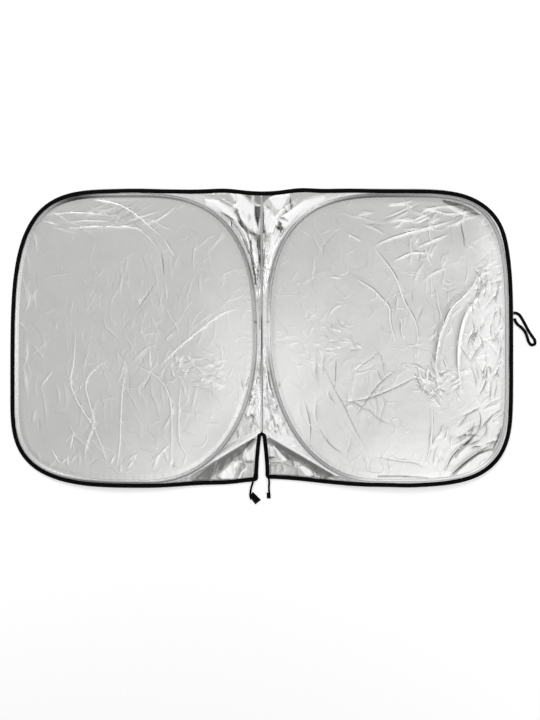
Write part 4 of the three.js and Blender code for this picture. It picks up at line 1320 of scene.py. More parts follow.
RIGHT_FACETS = (
    Crumple("upper web creases, right", (279, 214),
        14, 22, 16, 110, 60, (15, 50), (-2.0, -0.6), (2.4, 3.6), 51, 0.2),
    Crumple("middle web creases, right", (266, 265),
        4, 30, 26, 98, 12, (25, 70), (-2.0, -0.6), (2.4, 3.4), 53, 0.3),
    Crumple("lower web creases, right", (273, 405),
        8, 32, 40, 110, 40, (12, 45), (-2.0, -0.5), (2.4, 3.6), 54, 0.5),
    Facet("dusk at the seam's top, right", ((262, 194), (274, 194), (268.5, 198.8), (263.2, 203.4),
        (262, 204)), -0.6),
    Facet("white flat, right of the seam", ((263.9, 204.9), (273.9, 212.5), (276.9, 221.7), (272.3, 230.9),
        (267, 234), (264.7, 227.8), (263.9, 215.6)), 1.0, 3.5, 20),
    Facet("dark line beside the seam", ((261.8, 206.4), (263.6, 208), (265.4, 232.4), (262.5, 234)),
        -0.85, blur=1.2),
    Facet("white flat at the top", ((268.5, 199.5), (276.2, 194.2), (291.5, 192.3), (286.1, 200.3),
        (281.5, 210.2), (276.2, 209.5)), 1.0, 2.5, 90),
    Facet("grey flat at the top", ((291.5, 193.4), (325, 192.7), (325, 195), (304.5, 199.5), (289.2, 210.2),
        (284.6, 206.4), (287.6, 199.5)), -0.05, 1.0, 30),
    Facet("white band along the hoop", ((325, 195.7), (304.5, 200.3), (290.7, 211), (280, 217.1),
        (278.5, 221), (281.5, 227.8), (287.6, 227.8), (295.3, 217.9), (304.5, 208.7), (325, 199.5)),
        1.0, 2.5, 230),
    Facet("dark nick", ((278.8, 221), (281.6, 222.5), (283, 228), (281, 235), (279.6, 231), (276, 229)),
        -0.95, -2.0, 0, 1.5),
    Facet("grey edge", ((279, 215), (284, 217), (289, 221), (288, 222), (280, 219)), -0.4, blur=1.5),
    Facet("light flat, right of the seam", ((265, 238), (280, 236), (274, 262), (268, 280), (264.5, 291)),
        0.4, 2.0, 0, 2.5),
    Facet("white strip, right", ((271, 234), (274, 234), (274, 250), (272, 262), (270.5, 250)),
        1.0, 1.5, 0, 1.6),
    Facet("dark line beside the hoop", ((281, 240), (283, 240), (272.5, 271), (268, 284), (266.5, 284),
        (271, 270)), -1.0, blur=1.6),
    Facet("line to the apex, right", ((273, 415), (275, 416.5), (268, 425), (262.5, 430.5), (267, 423)),
        -0.45, blur=1.3),
    Facet("grey by the apex, right", ((265, 425), (269, 424), (269, 430), (265.5, 431.5)), -0.35, 1.0, 135),
    Facet("first sliver", ((270, 425.5), (271.5, 426), (275.5, 432), (273.8, 432.5)), -0.65, blur=1.2),
    Facet("second sliver", ((277, 424), (278.5, 425), (282, 435), (279.8, 435.5)), -0.5, blur=1.2),
    Facet("third sliver", ((285, 426.5), (286.5, 427), (290, 435), (287.5, 435)), -0.5, blur=1.2),
    Facet("grey by the hoop, right", ((281, 417), (285.5, 419), (286, 427), (282, 426.5)), -0.35, 1.0),
    Facet("lower grey trough", ((267.2, 369), (269.7, 371), (271, 382), (272.9, 390.2), (277.4, 402.9),
        (276.6, 414.4), (273.6, 413.1), (269.7, 401.6), (267.2, 390.2)), -0.6, -2.0),
    Facet("dark trough in the top corner", ((441, 199), (458, 202.5), (470, 207), (481, 214.5), (476, 216),
        (465, 211.5), (452, 206.5), (443, 203)), -0.85, -2.5, 80, 2.5),
    Facet("glint under the trough", ((446, 205.5), (463, 212), (474, 218), (466, 217), (452, 211)),
        0.7, blur=2.5),
    Facet("low corner pull", ((448, 478), (462, 462.5), (477, 452), (492, 447.5), (493, 450), (479, 455),
        (465, 466), (451, 479)), -0.6, -2.0, 120, 2.5),
    Facet("middle corner pull", ((453, 457), (465, 442), (477, 431), (478, 433), (467, 444.5), (456, 459)),
        -0.5, -1.5, 130, 2.5),
    Facet("upper corner pull", ((491, 421), (500, 414), (506, 409.5), (507, 412), (500, 417), (492, 423)),
        -0.6, -1.5, 130, 2.5),
    Facet("steep corner pull", ((491, 452), (496, 440), (502, 425), (504, 427), (498, 442), (494, 453)),
        -0.5, -1.5, 150, 2.5),
    Facet("gap by the bottom rim", ((377, 475.3), (400, 474.8), (428, 477), (428, 478.4), (400, 477),
        (377, 477.2)), -0.8),
    PaintedSheen("bright rim", (490, 335), 24, 70, 0.75, -6),
    PaintedSheen("bright upper rim", (492, 245), 18, 34, 0.4, 12),
    PaintedSheen("bright inner side, right", (284, 375), 34, 75, 0.55, -10),
)

# Flats of the flaps, with their painted shade and painted highlights, in the same order
LEFT_FLAP_FACETS = (
    Facet("shadow under the left hem", ((262, 433), (257.7, 437.2), (252.9, 442.3), (246, 450), (243, 454),
        (237, 457.4), (225, 467), (208, 481), (190, 482), (208, 466), (225, 455), (240, 446)),
        -0.8, blur=3.5),
    Facet("deepest shadow, left", ((261, 433), (257.5, 437.5), (251, 443.5), (245, 449), (247, 442)),
        -1.0, blur=3.0),
    Facet("light triangle, left", ((258, 437.4), (247.4, 451.4), (245, 454), (245.6, 459.8), (255, 461),
        (256, 449)), 0.25, 2.0, 60, 2.5),
    Facet("bright foot, left", ((225, 467.7), (232.3, 461), (240.2, 459.8), (243.2, 461), (235.9, 469.5),
        (234, 479), (222, 480), (216, 476)), 0.65, 2.5, 120, 4.0),
    Facet("grey foot, left", ((243.2, 461), (245.6, 462.9), (245, 469.5), (240.2, 479), (235.3, 479),
        (237, 469.5)), -0.4, -1.5, 20),
    Facet("bright streak, left", ((245, 467.5), (246.3, 469.5), (242, 474), (240.5, 479), (238, 479),
        (240.5, 472)), 0.9, 1.0, 0, 1.5),
    Facet("bright tick, left", ((245.5, 447.5), (247, 449), (243.5, 459.5), (242, 459)), 0.8, 1.5, 0, 1.5),
    Facet("grey bar, left", ((244, 460), (250, 459.5), (255, 463), (253, 465), (249, 462), (246, 463)),
        -0.4, -1.0, 90, 1.5),
)

RIGHT_FLAP_FACETS = (
    Facet("shadow under the right hem", ((262.5, 433), (285, 446), (310, 460), (336, 475), (324, 480),
        (310, 469), (297.7, 462.5), (286.2, 459.5), (273.5, 446.5), (266.8, 440.5)), -0.8, blur=3.0),
    Facet("deepest shadow, right", ((262.5, 433), (276, 441), (278, 447), (270, 443.5)), -0.7, blur=3.0),
    Facet("light triangle, right", ((267.4, 443.5), (272.9, 445.9), (285.6, 459.8), (273.5, 459.8),
        (267.4, 456.8)), 0.4, 2.5, 60),
    Facet("bright fold of the triangle", ((272, 445), (274.2, 445.5), (287, 460), (283.5, 460)),
        1.0, 1.5, 130, 1.3),
    Facet("dark tick, right", ((266.5, 456.6), (273.5, 456.6), (278, 458.4), (267, 459)),
        -0.9, -1.5, 90, 1.2),
    Facet("bright bar, right", ((266.5, 459.2), (272, 460.6), (280, 459.6), (287, 460.5), (279, 461.8),
        (271, 462)), 0.6, 1.0, 90, 1.3),
    Facet("grey foot, right", ((267, 463), (286, 463), (296, 470), (290, 478), (268, 478)),
        -0.35, 1.5, 110, 5.0),
    Facet("bright fleck", ((297.7, 466.5), (302.6, 465.3), (310, 469.5), (314, 475), (310, 477),
        (305.6, 475.6), (302, 470.8)), 1.0, 2.0, 60),
)


@dataclass
class Panel:
    """Half panel: one drum of cloth inside its hoop, and its share of the gathered web."""

    FOOT = 6.5
    SEAM_HALF = 3.6
    TAPE_EDGE = 11.5

    name: str
    side: Side
    folds: tuple[Fold, ...]
    crumples: tuple[Crumple, ...]
    facets: tuple[Crumple | Facet | PaintedSheen, ...]
    seed: int
    step: float = 2.8
    rest: float = 2.4
    # Painted highlight over the whole web and along the hem band
    web_highlight_paint: float = 0.28
    hem_highlight_paint: float = 0.8
    hem_rise: float = 0.7
    drum_crinkles: float = 0.04
    web_crinkles: float = 0.8

    def shape(self, points: Line) -> Draft:
        """Shapes the cloth's top over points, rows of x and y."""
        x, y = points[:, 0], points[:, 1]
        rough = Unevenness(self.seed)
        from_wire, along_wire = Track(self.side.wire, closed=True).measure(points)
        from_rim, along_rim = Track(self.side.rim).measure(points)
        from_hem = Track(self.side.hem).measure(points)[0]
        in_disc = within(points, self.side.wire)
        on_hem = ~in_disc & (from_hem < SHADE.hem_width)
        draft = self._creased(points, rough, in_disc)
        sewn = smoothstep(self.FOOT, 20.0, from_wire) * smoothstep(8.0, 22.0, from_rim)
        sewn = sewn * smoothstep(3.0, 10.0, np.abs(x))
        sewn = np.where(in_disc, sewn, sewn * smoothstep(1.0, 16.0, from_hem))
        pucker = self._casing_pucker(rough, from_wire, along_wire)
        pucker = pucker + np.where(in_disc, 0.0, self._tape_pucker(rough, from_rim, along_rim))
        slack = smoothstep(6.0, 150.0, from_wire) * self.rest
        top = np.where(in_disc, slack, 0.0) + SHADE.cloth_top
        top = top + sewn * draft.height + pucker * smoothstep(2.0, 6.0, np.abs(x))
        band = np.clip(np.minimum(from_hem - 0.3, SHADE.hem_width - from_hem) / 1.2, 0.0, 1.0)
        top += np.where(on_hem, self.hem_rise * band, 0.0)
        # A painted highlight along the raised hem band
        draft.tone[on_hem] = (self.hem_highlight_paint * band)[on_hem]
        under_tape = ~in_disc & (from_rim < self.TAPE_EDGE)
        top = np.where(under_tape | (from_wire < self.FOOT + 0.1), np.minimum(top, SHADE.cloth_top), top)
        top = np.where(np.abs(x) < self.SEAM_HALF, np.minimum(top, SHADE.cloth_top + 0.1), top)
        rumpled = self.web_crinkles * smoothstep(6.0, 14.0, from_wire)
        draft.crumpled = np.maximum(draft.crumpled, np.where(in_disc, self.drum_crinkles, rumpled))
        draft.mark *= smoothstep(self.FOOT, 10.0, from_wire)
        draft.height = np.maximum(top, SHADE.cloth + 0.1) + SHADE.lift(x, y)
        return draft

    def _creased(self, points: Line, rough: Unevenness, in_disc: np.ndarray) -> Draft:
        """The creases and painted light of loose cloth. In the web its flats come on top of lower creases."""
        x, y = points[:, 0], points[:, 1]
        draft = Draft.flat(points)
        for crease in (*self.crumples, *self.folds):
            crease.raise_cloth(draft)
        draft.height += 1.2 * rough.at(x, y, 150.0) + 0.7 * rough.at(y, x, 62.0)
        draft.height += 0.12 * rough.creased(x, y, 27.0)
        # The web gets an even painted highlight, and no painted crease lines
        draft.tone[~in_disc] = self.web_highlight_paint
        draft.mark[~in_disc] = 0.0
        web = replace(draft, height=np.zeros(len(points)))
        self._gather(web)
        for facet in self.facets:
            facet.raise_cloth(web)
        draft.height = np.where(in_disc, draft.height, 0.5 * draft.height + web.height)
        return draft

    def _casing_pucker(self, rough: Unevenness, away: np.ndarray, along: np.ndarray) -> np.ndarray:
        """Small ripples that the casing's stitches pull into the cloth."""
        ripple = np.exp(-np.maximum(away - 7.0, 0) / 11.0) * smoothstep(6.0, 9.0, away)
        return ripple * (rough.wave(along, away * 0.2, 3.4, 9.0, 40.0) * 0.16)

    def _tape_pucker(self, rough: Unevenness, away: np.ndarray, along: np.ndarray) -> np.ndarray:
        """Ripples that the binding's stitches pull into the web."""
        ripple = np.exp(-np.maximum(away - 11.0, 0) / 8.0) * 0.4
        return ripple * rough.wave(along, away * 0.2, 2.6, 6.0, 25.0)

    def _gather(self, web: Draft) -> None:
        """Adds the folds that fan out from the pinch between the hoops."""
        chance = np.random.default_rng(self.seed + 50)
        wire = self.side.wire
        inner = wire[np.abs(wire[:, 0]) < 330]
        upper = inner[inner[:, 1] > PINCH_Y]
        lower = inner[inner[:, 1] < PINCH_Y]
        for part, rise, tops in ((upper, 1.0, 424.0), (lower, -1.0, -275.0)):
            order = np.argsort(part[:, 1])
            for share in np.linspace(0.16, 0.88, 6):
                share = share + chance.uniform(-0.035, 0.035)
                start = PINCH_Y + rise * chance.uniform(25.0, 110.0)
                end = tops - rise * chance.uniform(0.0, 60.0)
                ys = np.linspace(start, end, 9)
                hoop_x = np.interp(ys, part[order, 1], part[order, 0])
                near = np.abs(hoop_x) - 12.0
                xs = self.side.sign * np.clip(near * share, 4.0, 150.0) + chance.normal(0.0, 2.0, 9)
                # Each fold gets a painted highlight line or a painted shade line, chosen at random
                fold = Fold(
                    "gather",
                    (),
                    height=chance.uniform(2.4, 6.0),
                    width=chance.uniform(5.0, 9.0),
                    sharpness=chance.uniform(1.1, 1.8),
                    lean=chance.uniform(-0.5, 0.5),
                    tone=chance.choice([0.8, -0.6]),
                )
                press_fold(evenly(rounded(np.stack([xs, ys], axis=1)), 4.0), fold, web)

    def build(self) -> bpy.types.Object:
        """Makes the panel's cloth."""
        return cloth_from(self.name, self.side.panel, self.step, self.shape)


@dataclass
class Flap:
    """Triangular flap beside the slit, sewn beneath the hem."""

    name: str
    side: Side
    facets: tuple[Facet | PaintedSheen, ...]
    seed: int
    step: float = 2.6
    # Painted shade over the whole flap, which lies lower, beneath the hem
    tone: float = -0.38
    gathers: int = 11
    crinkles: float = 0.6
    tuck: float = 0.75

    def shape(self, points: Line) -> Draft:
        """Shapes the flap's top over points."""
        x, y = points[:, 0], points[:, 1]
        rough = Unevenness(self.seed)
        from_hem = Track(self.side.hem).measure(points)[0]
        beneath = within(points, self.side.panel)
        from_tape = np.minimum(
            Track(self.side.slit).measure(points)[0], Track(self.side.rim).measure(points)[0]
        )
        draft = Draft.flat(points, self.tone)
        self._gather(draft)
        draft.height += 1.6 * rough.creased(x, y, 44.0) + 0.8 * rough.creased(y, x, 19.0)
        for facet in self.facets:
            facet.raise_cloth(draft)
        clear = smoothstep(9.0, 18.0, from_tape) * smoothstep(0.0, 14.0, from_hem)
        top = SHADE.cloth_top + np.where(beneath, 0.0, clear * draft.height)
        tucked = 1.0 - smoothstep(0.0, 7.0, from_hem) * ~beneath
        top = top - tucked * self.tuck * (np.abs(x) > 24)
        draft.height = np.maximum(top, SHADE.cloth + 0.08) + SHADE.lift(x, y)
        draft.crumpled = self.crinkles * clear
        return draft

    def _gather(self, draft: Draft) -> None:
        """Adds the folds that fall from the hem, and the level crease beside the slit."""
        chance = np.random.default_rng(self.seed)
        sign, leg = self.side.sign, self.side.leg
        for share in np.linspace(0.08, 1.0, self.gathers):
            top_x = 16 + share * 200 + chance.uniform(-9, 9)
            top_y = SHADE.hem_top_y + (leg.hem_y - SHADE.hem_top_y) * top_x / leg.hem_x - 6
            drop = chance.uniform(30, 90)
            drift = chance.uniform(-10, 26)
            line = np.array(
                [
                    (sign * top_x, top_y),
                    (sign * (top_x + drift * 0.5), top_y - drop * 0.5),
                    (sign * (top_x + drift), top_y - drop),
                ]
            )
            # The falling folds and the level crease carry faint painted highlights
            fold = Fold("flap gather", (), chance.uniform(0.8, 2.4), chance.uniform(4.0, 8.0), 1.3, tone=0.12)
            press_fold(evenly(rounded(line), 3.0), fold, draft)
        level = np.array([(sign * 16.0, -371.0), (sign * 40.0, -373.0), (sign * 66.0, -369.0)])
        press_fold(evenly(rounded(level), 3.0), Fold("level crease", (), 1.6, 4.5, 1.2, tone=0.15), draft)

    def build(self) -> bpy.types.Object:
        """Makes the flap's cloth."""
        return cloth_from(self.name, self.side.flap, self.step, self.shape)


def cloth_from(name: str, outline: Line, step: float, shape: Callable[[Line], Draft]) -> bpy.types.Object:
    """Makes a sheet of cloth inside an outline.

    Args:
        name: The piece's name.
        outline: The cut, rows of x and y.
        step: The distance between the cloth's points.
        shape: Shapes the cloth's top over points.

    Returns:
        The sheet with its thickness, and with what its finish reads.
    """
    low, high = outline.min(axis=0), outline.max(axis=0)
    columns, rows = (int(n) for n in np.ceil((high - low) / step))
    made = grid(name, columns, rows)
    points = low + shares(made) * (high - low)
    inside = within(points, outline)
    mask = inside.reshape(rows + 1, columns + 1)
    cell = mask[:-1, :-1] | mask[1:, :-1] | mask[:-1, 1:] | mask[1:, 1:]
    used = np.zeros_like(mask)
    for down, left in ((0, 0), (1, 0), (0, 1), (1, 1)):
        used[down : down + rows, left : left + columns] |= cell
    used = used.ravel()
    fringe = used & ~inside
    points[fringe] = Track(outline, closed=True).nearest(points[fringe])
    set_places(made, np.column_stack([points, np.zeros(len(points))]))
    alone(made)
    for kind in (made.data.polygons, made.data.edges):
        kind.foreach_set("select", np.zeros(len(kind), bool))
    made.data.vertices.foreach_set("select", ~used)
    bpy.ops.object.mode_set(mode="EDIT")
    bpy.ops.mesh.delete(type="VERT")
    bpy.ops.mesh.select_all(action="SELECT")
    bpy.ops.mesh.remove_doubles(threshold=0.25 * MM)
    bpy.ops.object.mode_set(mode="OBJECT")
    places = get_places(made)
    draft = shape(places[:, :2])
    places[:, 2] = draft.height
    set_places(made, places)
    for word in Draft.PAINTED:
        paint(made, word, getattr(draft, word))
    top_count = len(made.data.vertices)
    finish_mesh(made, wall=SHADE.cloth)
    thin_underside(made, top_count)
    return made


def thin_underside(made: bpy.types.Object, top_count: int, kept: float = 0.14) -> None:
    """Thins the hidden lower layer of a sheet.

    Args:
        made: The sheet with both its layers.
        top_count: How many vertices the upper layer has; they come first.
        kept: The share of the lower layer's faces that stay.
    """
    group = made.vertex_groups.new(name="underside")
    group.add(list(range(top_count, len(made.data.vertices))), 1.0, "REPLACE")
    thin = made.modifiers.new("thin underside", "DECIMATE")
    thin.vertex_group = group.name
    thin.ratio = (1 + kept) / 2
    alone(made)
    bpy.ops.object.modifier_apply(modifier=thin.name)
    made.vertex_groups.clear()


# The dark tack of thread that holds both hoops at the pinch, the thread's own colour: half its height, its
# reach and how dark it is
TACK_HALF = 2.6
TACK_REACH = 23.0
TACK_TONE = 0.8

# Painted highlights and painted shade on the casings: middle, reach across and up, and how light or dark it
# is painted
CASING_PAINTED_LIGHT = (
    (-735.0, -20.0, 60.0, 330.0, 0.9),
    (-640.0, -380.0, 90.0, 80.0, 0.5),
    (-560.0, 422.0, 85.0, 34.0, -0.95),
    (430.0, -425.0, 200.0, 30.0, 0.75),
    (640.0, -370.0, 90.0, 70.0, 0.5),
    (25.0, 20.0, 25.0, 70.0, 0.7),
    (330.0, 425.0, 170.0, 30.0, -0.6),
    (-300.0, 430.0, 150.0, 24.0, -0.35),
    (-520.0, -440.0, 150.0, 40.0, -0.35),
    (-75.0, 180.0, 60.0, 150.0, -0.25),
    (75.0, 190.0, 60.0, 150.0, -0.3),
)


@dataclass
class Casing:
    """Silver tape over the hoop wire, stitched along both edges, a little puckered by its stitches."""

    name: str
    side: Side
    seed: int
    columns: int = 15
    crown: float = 4.2
    half_crown: float = 3.2
    wall: float = 0.45
    edge_wave: float = 0.35
    ripple: float = 0.18
    flange_from: float = 4.6

    def build(self) -> bpy.types.Object:
        """Makes the casing."""
        line = self.side.wire
        rough = Unevenness(self.seed)
        half = SHADE.casing_width / 2
        along = np.arange(len(line)) * WIRE_STEP
        across = np.linspace(-half, half, self.columns)
        foot = SHADE.cloth_top + SHADE.gap + self.wall
        arch = self.crown * np.exp(-((np.abs(across) / self.half_crown) ** 4))
        sections = np.empty((len(line), self.columns, 2))
        edge = self.edge_wave * rough.wave(along, along * 0, 2.4, 6, 30.0)
        sections[:, :, 0] = across[None, :] + (edge[:, None] * (np.abs(across) / half) ** 3)
        ripple = self.ripple * rough.wave(along, along * 0 + 50, 1.9, 7, 24.0)
        flange = 1.0 - np.exp(-((np.abs(across) - self.flange_from) ** 2) / 2.0)
        sections[:, :, 1] = foot + arch[None, :] + np.abs(ripple)[:, None] * flange[None, :]
        centre = np.column_stack([line, SHADE.lift(line[:, 0], line[:, 1])])
        made = swept(self.name, centre, sections, closed=True, ring=False)
        faces_up(made)
        # Painted highlights and painted shade, with the dark thread of the tack
        paint(made, "tone", self._tone(get_places(made)))
        finish_mesh(made, wall=self.wall)
        return made

    def _tone(self, places: np.ndarray) -> np.ndarray:
        """Painted light at places: painted highlights and painted shade in stretches, and the dark thread of
        the tack that holds both hoops.
        """
        x, y = places[:, 0], places[:, 1]
        total = np.zeros(len(x))
        for at_x, at_y, reach_x, reach_y, amount in CASING_PAINTED_LIGHT:
            total += amount * np.exp(-(((x - at_x) / reach_x) ** 2) - ((y - at_y) / reach_y) ** 2)
        tack = np.exp(-(((y - PINCH_Y) / TACK_HALF) ** 2)) * (np.abs(x) < TACK_REACH)
        return np.clip(total - TACK_TONE * tack, -1.0, 1.0)


@dataclass
class Binding:
    """Black tape folded over the whole edge and up both sides of the slit."""

    name: str
    left: Side
    right: Side
    lap: float = 1.2
    seed: int = 77

    def line(self) -> tuple[Line, np.ndarray]:
        """The outer edge from the slit's apex round and back to it, and the tape's width at each point."""
        slit_left, rim_left = self.left.slit, self.left.rim
        slit_right, rim_right = self.right.slit[::-1], self.right.rim[::-1]
        whole = [slit_left, rim_left[1:], rim_right[1:], slit_right[1:-1]]
        width = [
            np.full(len(slit_left), SHADE.slit_tape_width + self.lap),
            np.full(len(rim_left) - 1, SHADE.tape_width + self.lap),
            np.full(len(rim_right) - 1, SHADE.tape_width + self.lap),
            np.full(len(slit_right) - 2, SHADE.slit_tape_width + self.lap),
        ]
        return np.vstack(whole), np.concatenate(width)

    def build(self) -> bpy.types.Object:
        """Makes the binding."""
        line, width = self.line()
        rough = Unevenness(self.seed)
        spans = np.linalg.norm(np.diff(line, axis=0), axis=1)
        along = np.concatenate([[0.0], np.cumsum(spans)])
        thick, top = SHADE.tape, SHADE.tape_top
        outside = [(1.0, 0.0), (0.12, 0.02), (0.03, 0.35), (0.0, top / 2), (0.03, top - 0.35), (0.12, top)]
        crown = [(0.5, top + 0.25), (0.86, top + 0.32), (1.0, top + 0.25)]
        upper_inside = [(1.0, top - thick + 0.05), (0.5, top - thick + 0.1), (0.11, top - thick)]
        lower_inside = [(0.08, top / 2), (0.11, thick), (1.0, thick)]
        shape = np.array(outside + crown + upper_inside + lower_inside)
        sections = np.empty((len(line), len(shape), 2))
        level = along * 0
        wander = 0.5 * (rough.at(along, level, 26.0) - 0.5) + 0.35 * (rough.at(along, level, 7.0) - 0.5)
        sections[:, :, 0] = shape[None, :, 0] * (width + wander)[:, None]
        puff = 0.35 * (rough.at(along, along * 0 + 90, 9.0) - 0.5)
        above = (shape[:, 1] > top - 0.3) & (shape[:, 0] > 0.3) & (shape[:, 0] < 0.95)
        sections[:, :, 1] = shape[None, :, 1] + puff[:, None] * above[None, :]
        centre = np.column_stack([line, SHADE.lift(line[:, 0], line[:, 1])])
        return swept(self.name, centre, sections, closed=True, ring=True)


@dataclass
class SeamTape:
    """Tape over the middle seam, pulled narrow at the pinch."""

    name: str = "seam_tape"
    half_width: float = 3.6
    wall: float = 0.45
    seed: int = 91

    def build(self) -> bpy.types.Object:
        """Makes the tape."""
        rough = Unevenness(self.seed)
        top = SHADE.height / 2 - SHADE.top_dip - SHADE.tape_width - 1
        bottom = SHADE.apex_y + SHADE.slit_tape_width + 1
        y = np.linspace(top, bottom, 240)
        x = 1.3 * (rough.at(y, y * 0, 60.0) - 0.5) + 0.6 * (rough.at(y, y * 0, 14.0) - 0.5)
        narrow = 1.0 - 0.25 * np.exp(-(((y - PINCH_Y) / 60.0) ** 2))
        across = np.linspace(-1.0, 1.0, 9)
        sections = np.empty((len(y), len(across), 2))
        sections[:, :, 0] = across[None, :] * self.half_width * narrow[:, None]
        foot = SHADE.cloth_top + SHADE.gap + self.wall
        bulge = 0.5 * (1 - np.abs(across) ** 3)
        puff = 0.5 * rough.at(y, y * 0 + 70, 10.0)
        sections[:, :, 1] = foot + bulge[None, :] * (0.5 + puff)[:, None]
        centre = np.column_stack([x, y, SHADE.lift(x, y)])
        made = swept(self.name, centre, sections, closed=False, ring=False)
        faces_up(made)
        # Painted shadow at the pinch, and painted shade with a painted highlight low down
        paint(made, "tone", self._tone(get_places(made)))
        finish_mesh(made, wall=0.4)
        return made

    def _tone(self, places: np.ndarray) -> np.ndarray:
        """Painted light at places: a painted shadow line at the pinch, and low down a thin painted shade line
        with a painted highlight beside it.
        """
        x, y = places[:, 0], places[:, 1]
        pinched = smoothstep(-90.0, -20.0, y) * (1.0 - smoothstep(50.0, 80.0, y))
        low = 1.0 - smoothstep(-130.0, -90.0, y)
        line = -0.6 * np.exp(-(((x - 1.4) / 1.3) ** 2)) + 0.7 * smoothstep(0.3, -1.2, x)
        return low * line - 0.95 * pinched * np.exp(-((x / 1.9) ** 2))


class FarEnd(Enum):
    """What a strap's far end comes to."""

    OBJECT = "object"
    FITTING = "fitting"


@dataclass
class Strap:
    """A free flat strap: the storage loop or a tie."""

    name: str
    route: tuple[tuple[float, float, float], ...]
    width: float
    thickness: float
    length: float
    far_end: FarEnd
    replaced: str
    piece: bpy.types.Object | None = None
    path: np.ndarray = field(default_factory=lambda: np.zeros((0, 3)))

    def build(self, material: bpy.types.Material) -> bpy.types.Object:
        """Makes the strap along its route."""
        self.path = evenly(rounded(np.array(self.route)), 2.0)
        angle = np.linspace(0, 2 * np.pi, 16, endpoint=False)
        wide = np.sign(np.cos(angle)) * np.abs(np.cos(angle)) ** 0.6 * self.width / 2
        tall = np.sign(np.sin(angle)) * np.abs(np.sin(angle)) ** 0.6 * self.thickness / 2
        section = np.stack([wide, tall], axis=1)
        self.piece = swept(self.name, self.path, section, closed=False, ring=True)
        dress(self.piece, material, [self.replaced])
        return self.piece

    def declare(self, with_pieces: Sequence[bpy.types.Object] = ()) -> None:
        """Works out the strap's width in metres and does nothing with it."""
        self.width * MM


STORAGE_LOOP = (
    (750.4, 76, 2), (758, 75.6, 1.8), (766, 72, 1.2), (773, 64, 1), (781, 50, 1), (788, 37, 1), (796, 22, 1),
    (806, 7, 1), (814, -5, 1), (814, -16, 1.2), (804, -19, 1.8), (796, -10, 2.4), (791, 5, 3), (785, 20, 3.4),
    (775, 32, 3), (764, 41, 2.2), (757, 50, 1.6), (754, 60, 1.6),
)
LEFT_TIE = (
    (-5, -294, 3.3), (-9, -310, 3.3), (-13, -330, 3.3), (-14, -350, 3.3), (-15, -372, 3.3), (-18, -390, 3.3),
    (-21, -405, 3.3), (-24, -418, 3.4), (-27, -430, 2.9), (-31, -443, 1.2), (-33.5, -456, 1),
    (-34.5, -468, 1), (-31.5, -480, 1),
)
RIGHT_TIE = (
    (5, -294, 3.3), (8, -312, 3.3), (10, -333, 3.3), (12, -352, 3.3), (14, -372, 3.3), (16, -390, 3.3),
    (18, -405, 3.4), (21, -418, 3.4), (22, -430, 2.2), (21.5, -444, 1), (22, -460, 1),
)


@dataclass
class Tab:
    """A folded end of tape on a tie: two layers sewn together near their edge."""

    name: str
    corners: tuple[Point, Point, Point, Point]
    replaced: str
    thickness: float = 2.1
    cells: int = 14

    def build(self, material: bpy.types.Material) -> bpy.types.Object:
        """Makes the tab."""
        made = grid(self.name, self.cells, self.cells)
        flat = shares(made)
        u, v = flat[:, :1], flat[:, 1:]
        a, b, c, d = (np.array(corner, float) for corner in self.corners)
        places = (1 - u) * (1 - v) * a + u * (1 - v) * b + u * v * c + (1 - u) * v * d
        edge = np.minimum(np.minimum(flat[:, 0], 1 - flat[:, 0]), np.minimum(flat[:, 1], 1 - flat[:, 1]))
        crown = self.thickness - 0.5 * (1 - smoothstep(0.0, 0.16, edge))
        fold = 0.3 * np.exp(-(((flat[:, 1] - 0.55) / 0.06) ** 2))
        set_places(made, np.column_stack([places, crown - fold]))
        long = np.linalg.norm(b - a), np.linalg.norm(d - a)
        set_uv(made, flat * np.array(long))
        faces_up(made)
        finish_mesh(made, wall=self.thickness * 0.75, bevel=0.35)
        dress(made, material, [self.replaced])
        return made


BINDING_NODES = ("left_edge_binding", "right_edge_binding", "left_slit_binding", "right_slit_binding")
LEFT_TAB = ((-36.5, -471.0), (-19.2, -494.7), (-2.4, -481.0), (-26.5, -457.2))
RIGHT_TAB = ((15.2, -477.0), (27.0, -477.0), (25.6, -459.6), (14.6, -459.6))


Spot = tuple[float, float, float]

# Soft boxes: name, place, side of the square, power in watts, and the point that each faces
LAMPS = (
    ("key", (-0.9, 3.6, 2.3), 1.6, 90.0, (0.0, 0.0, 0.0)),
    ("overhead", (1.4, -1.9, 5.6), 3.0, 55.0, (0.3, 0.0, 0.0)),
    ("right", (3.0, -0.3, 1.5), 1.3, 26.0, (0.3, 0.0, 0.0)),
    ("left", (-3.2, 0.2, 1.7), 1.3, 26.0, (-0.3, 0.0, 0.0)),
)


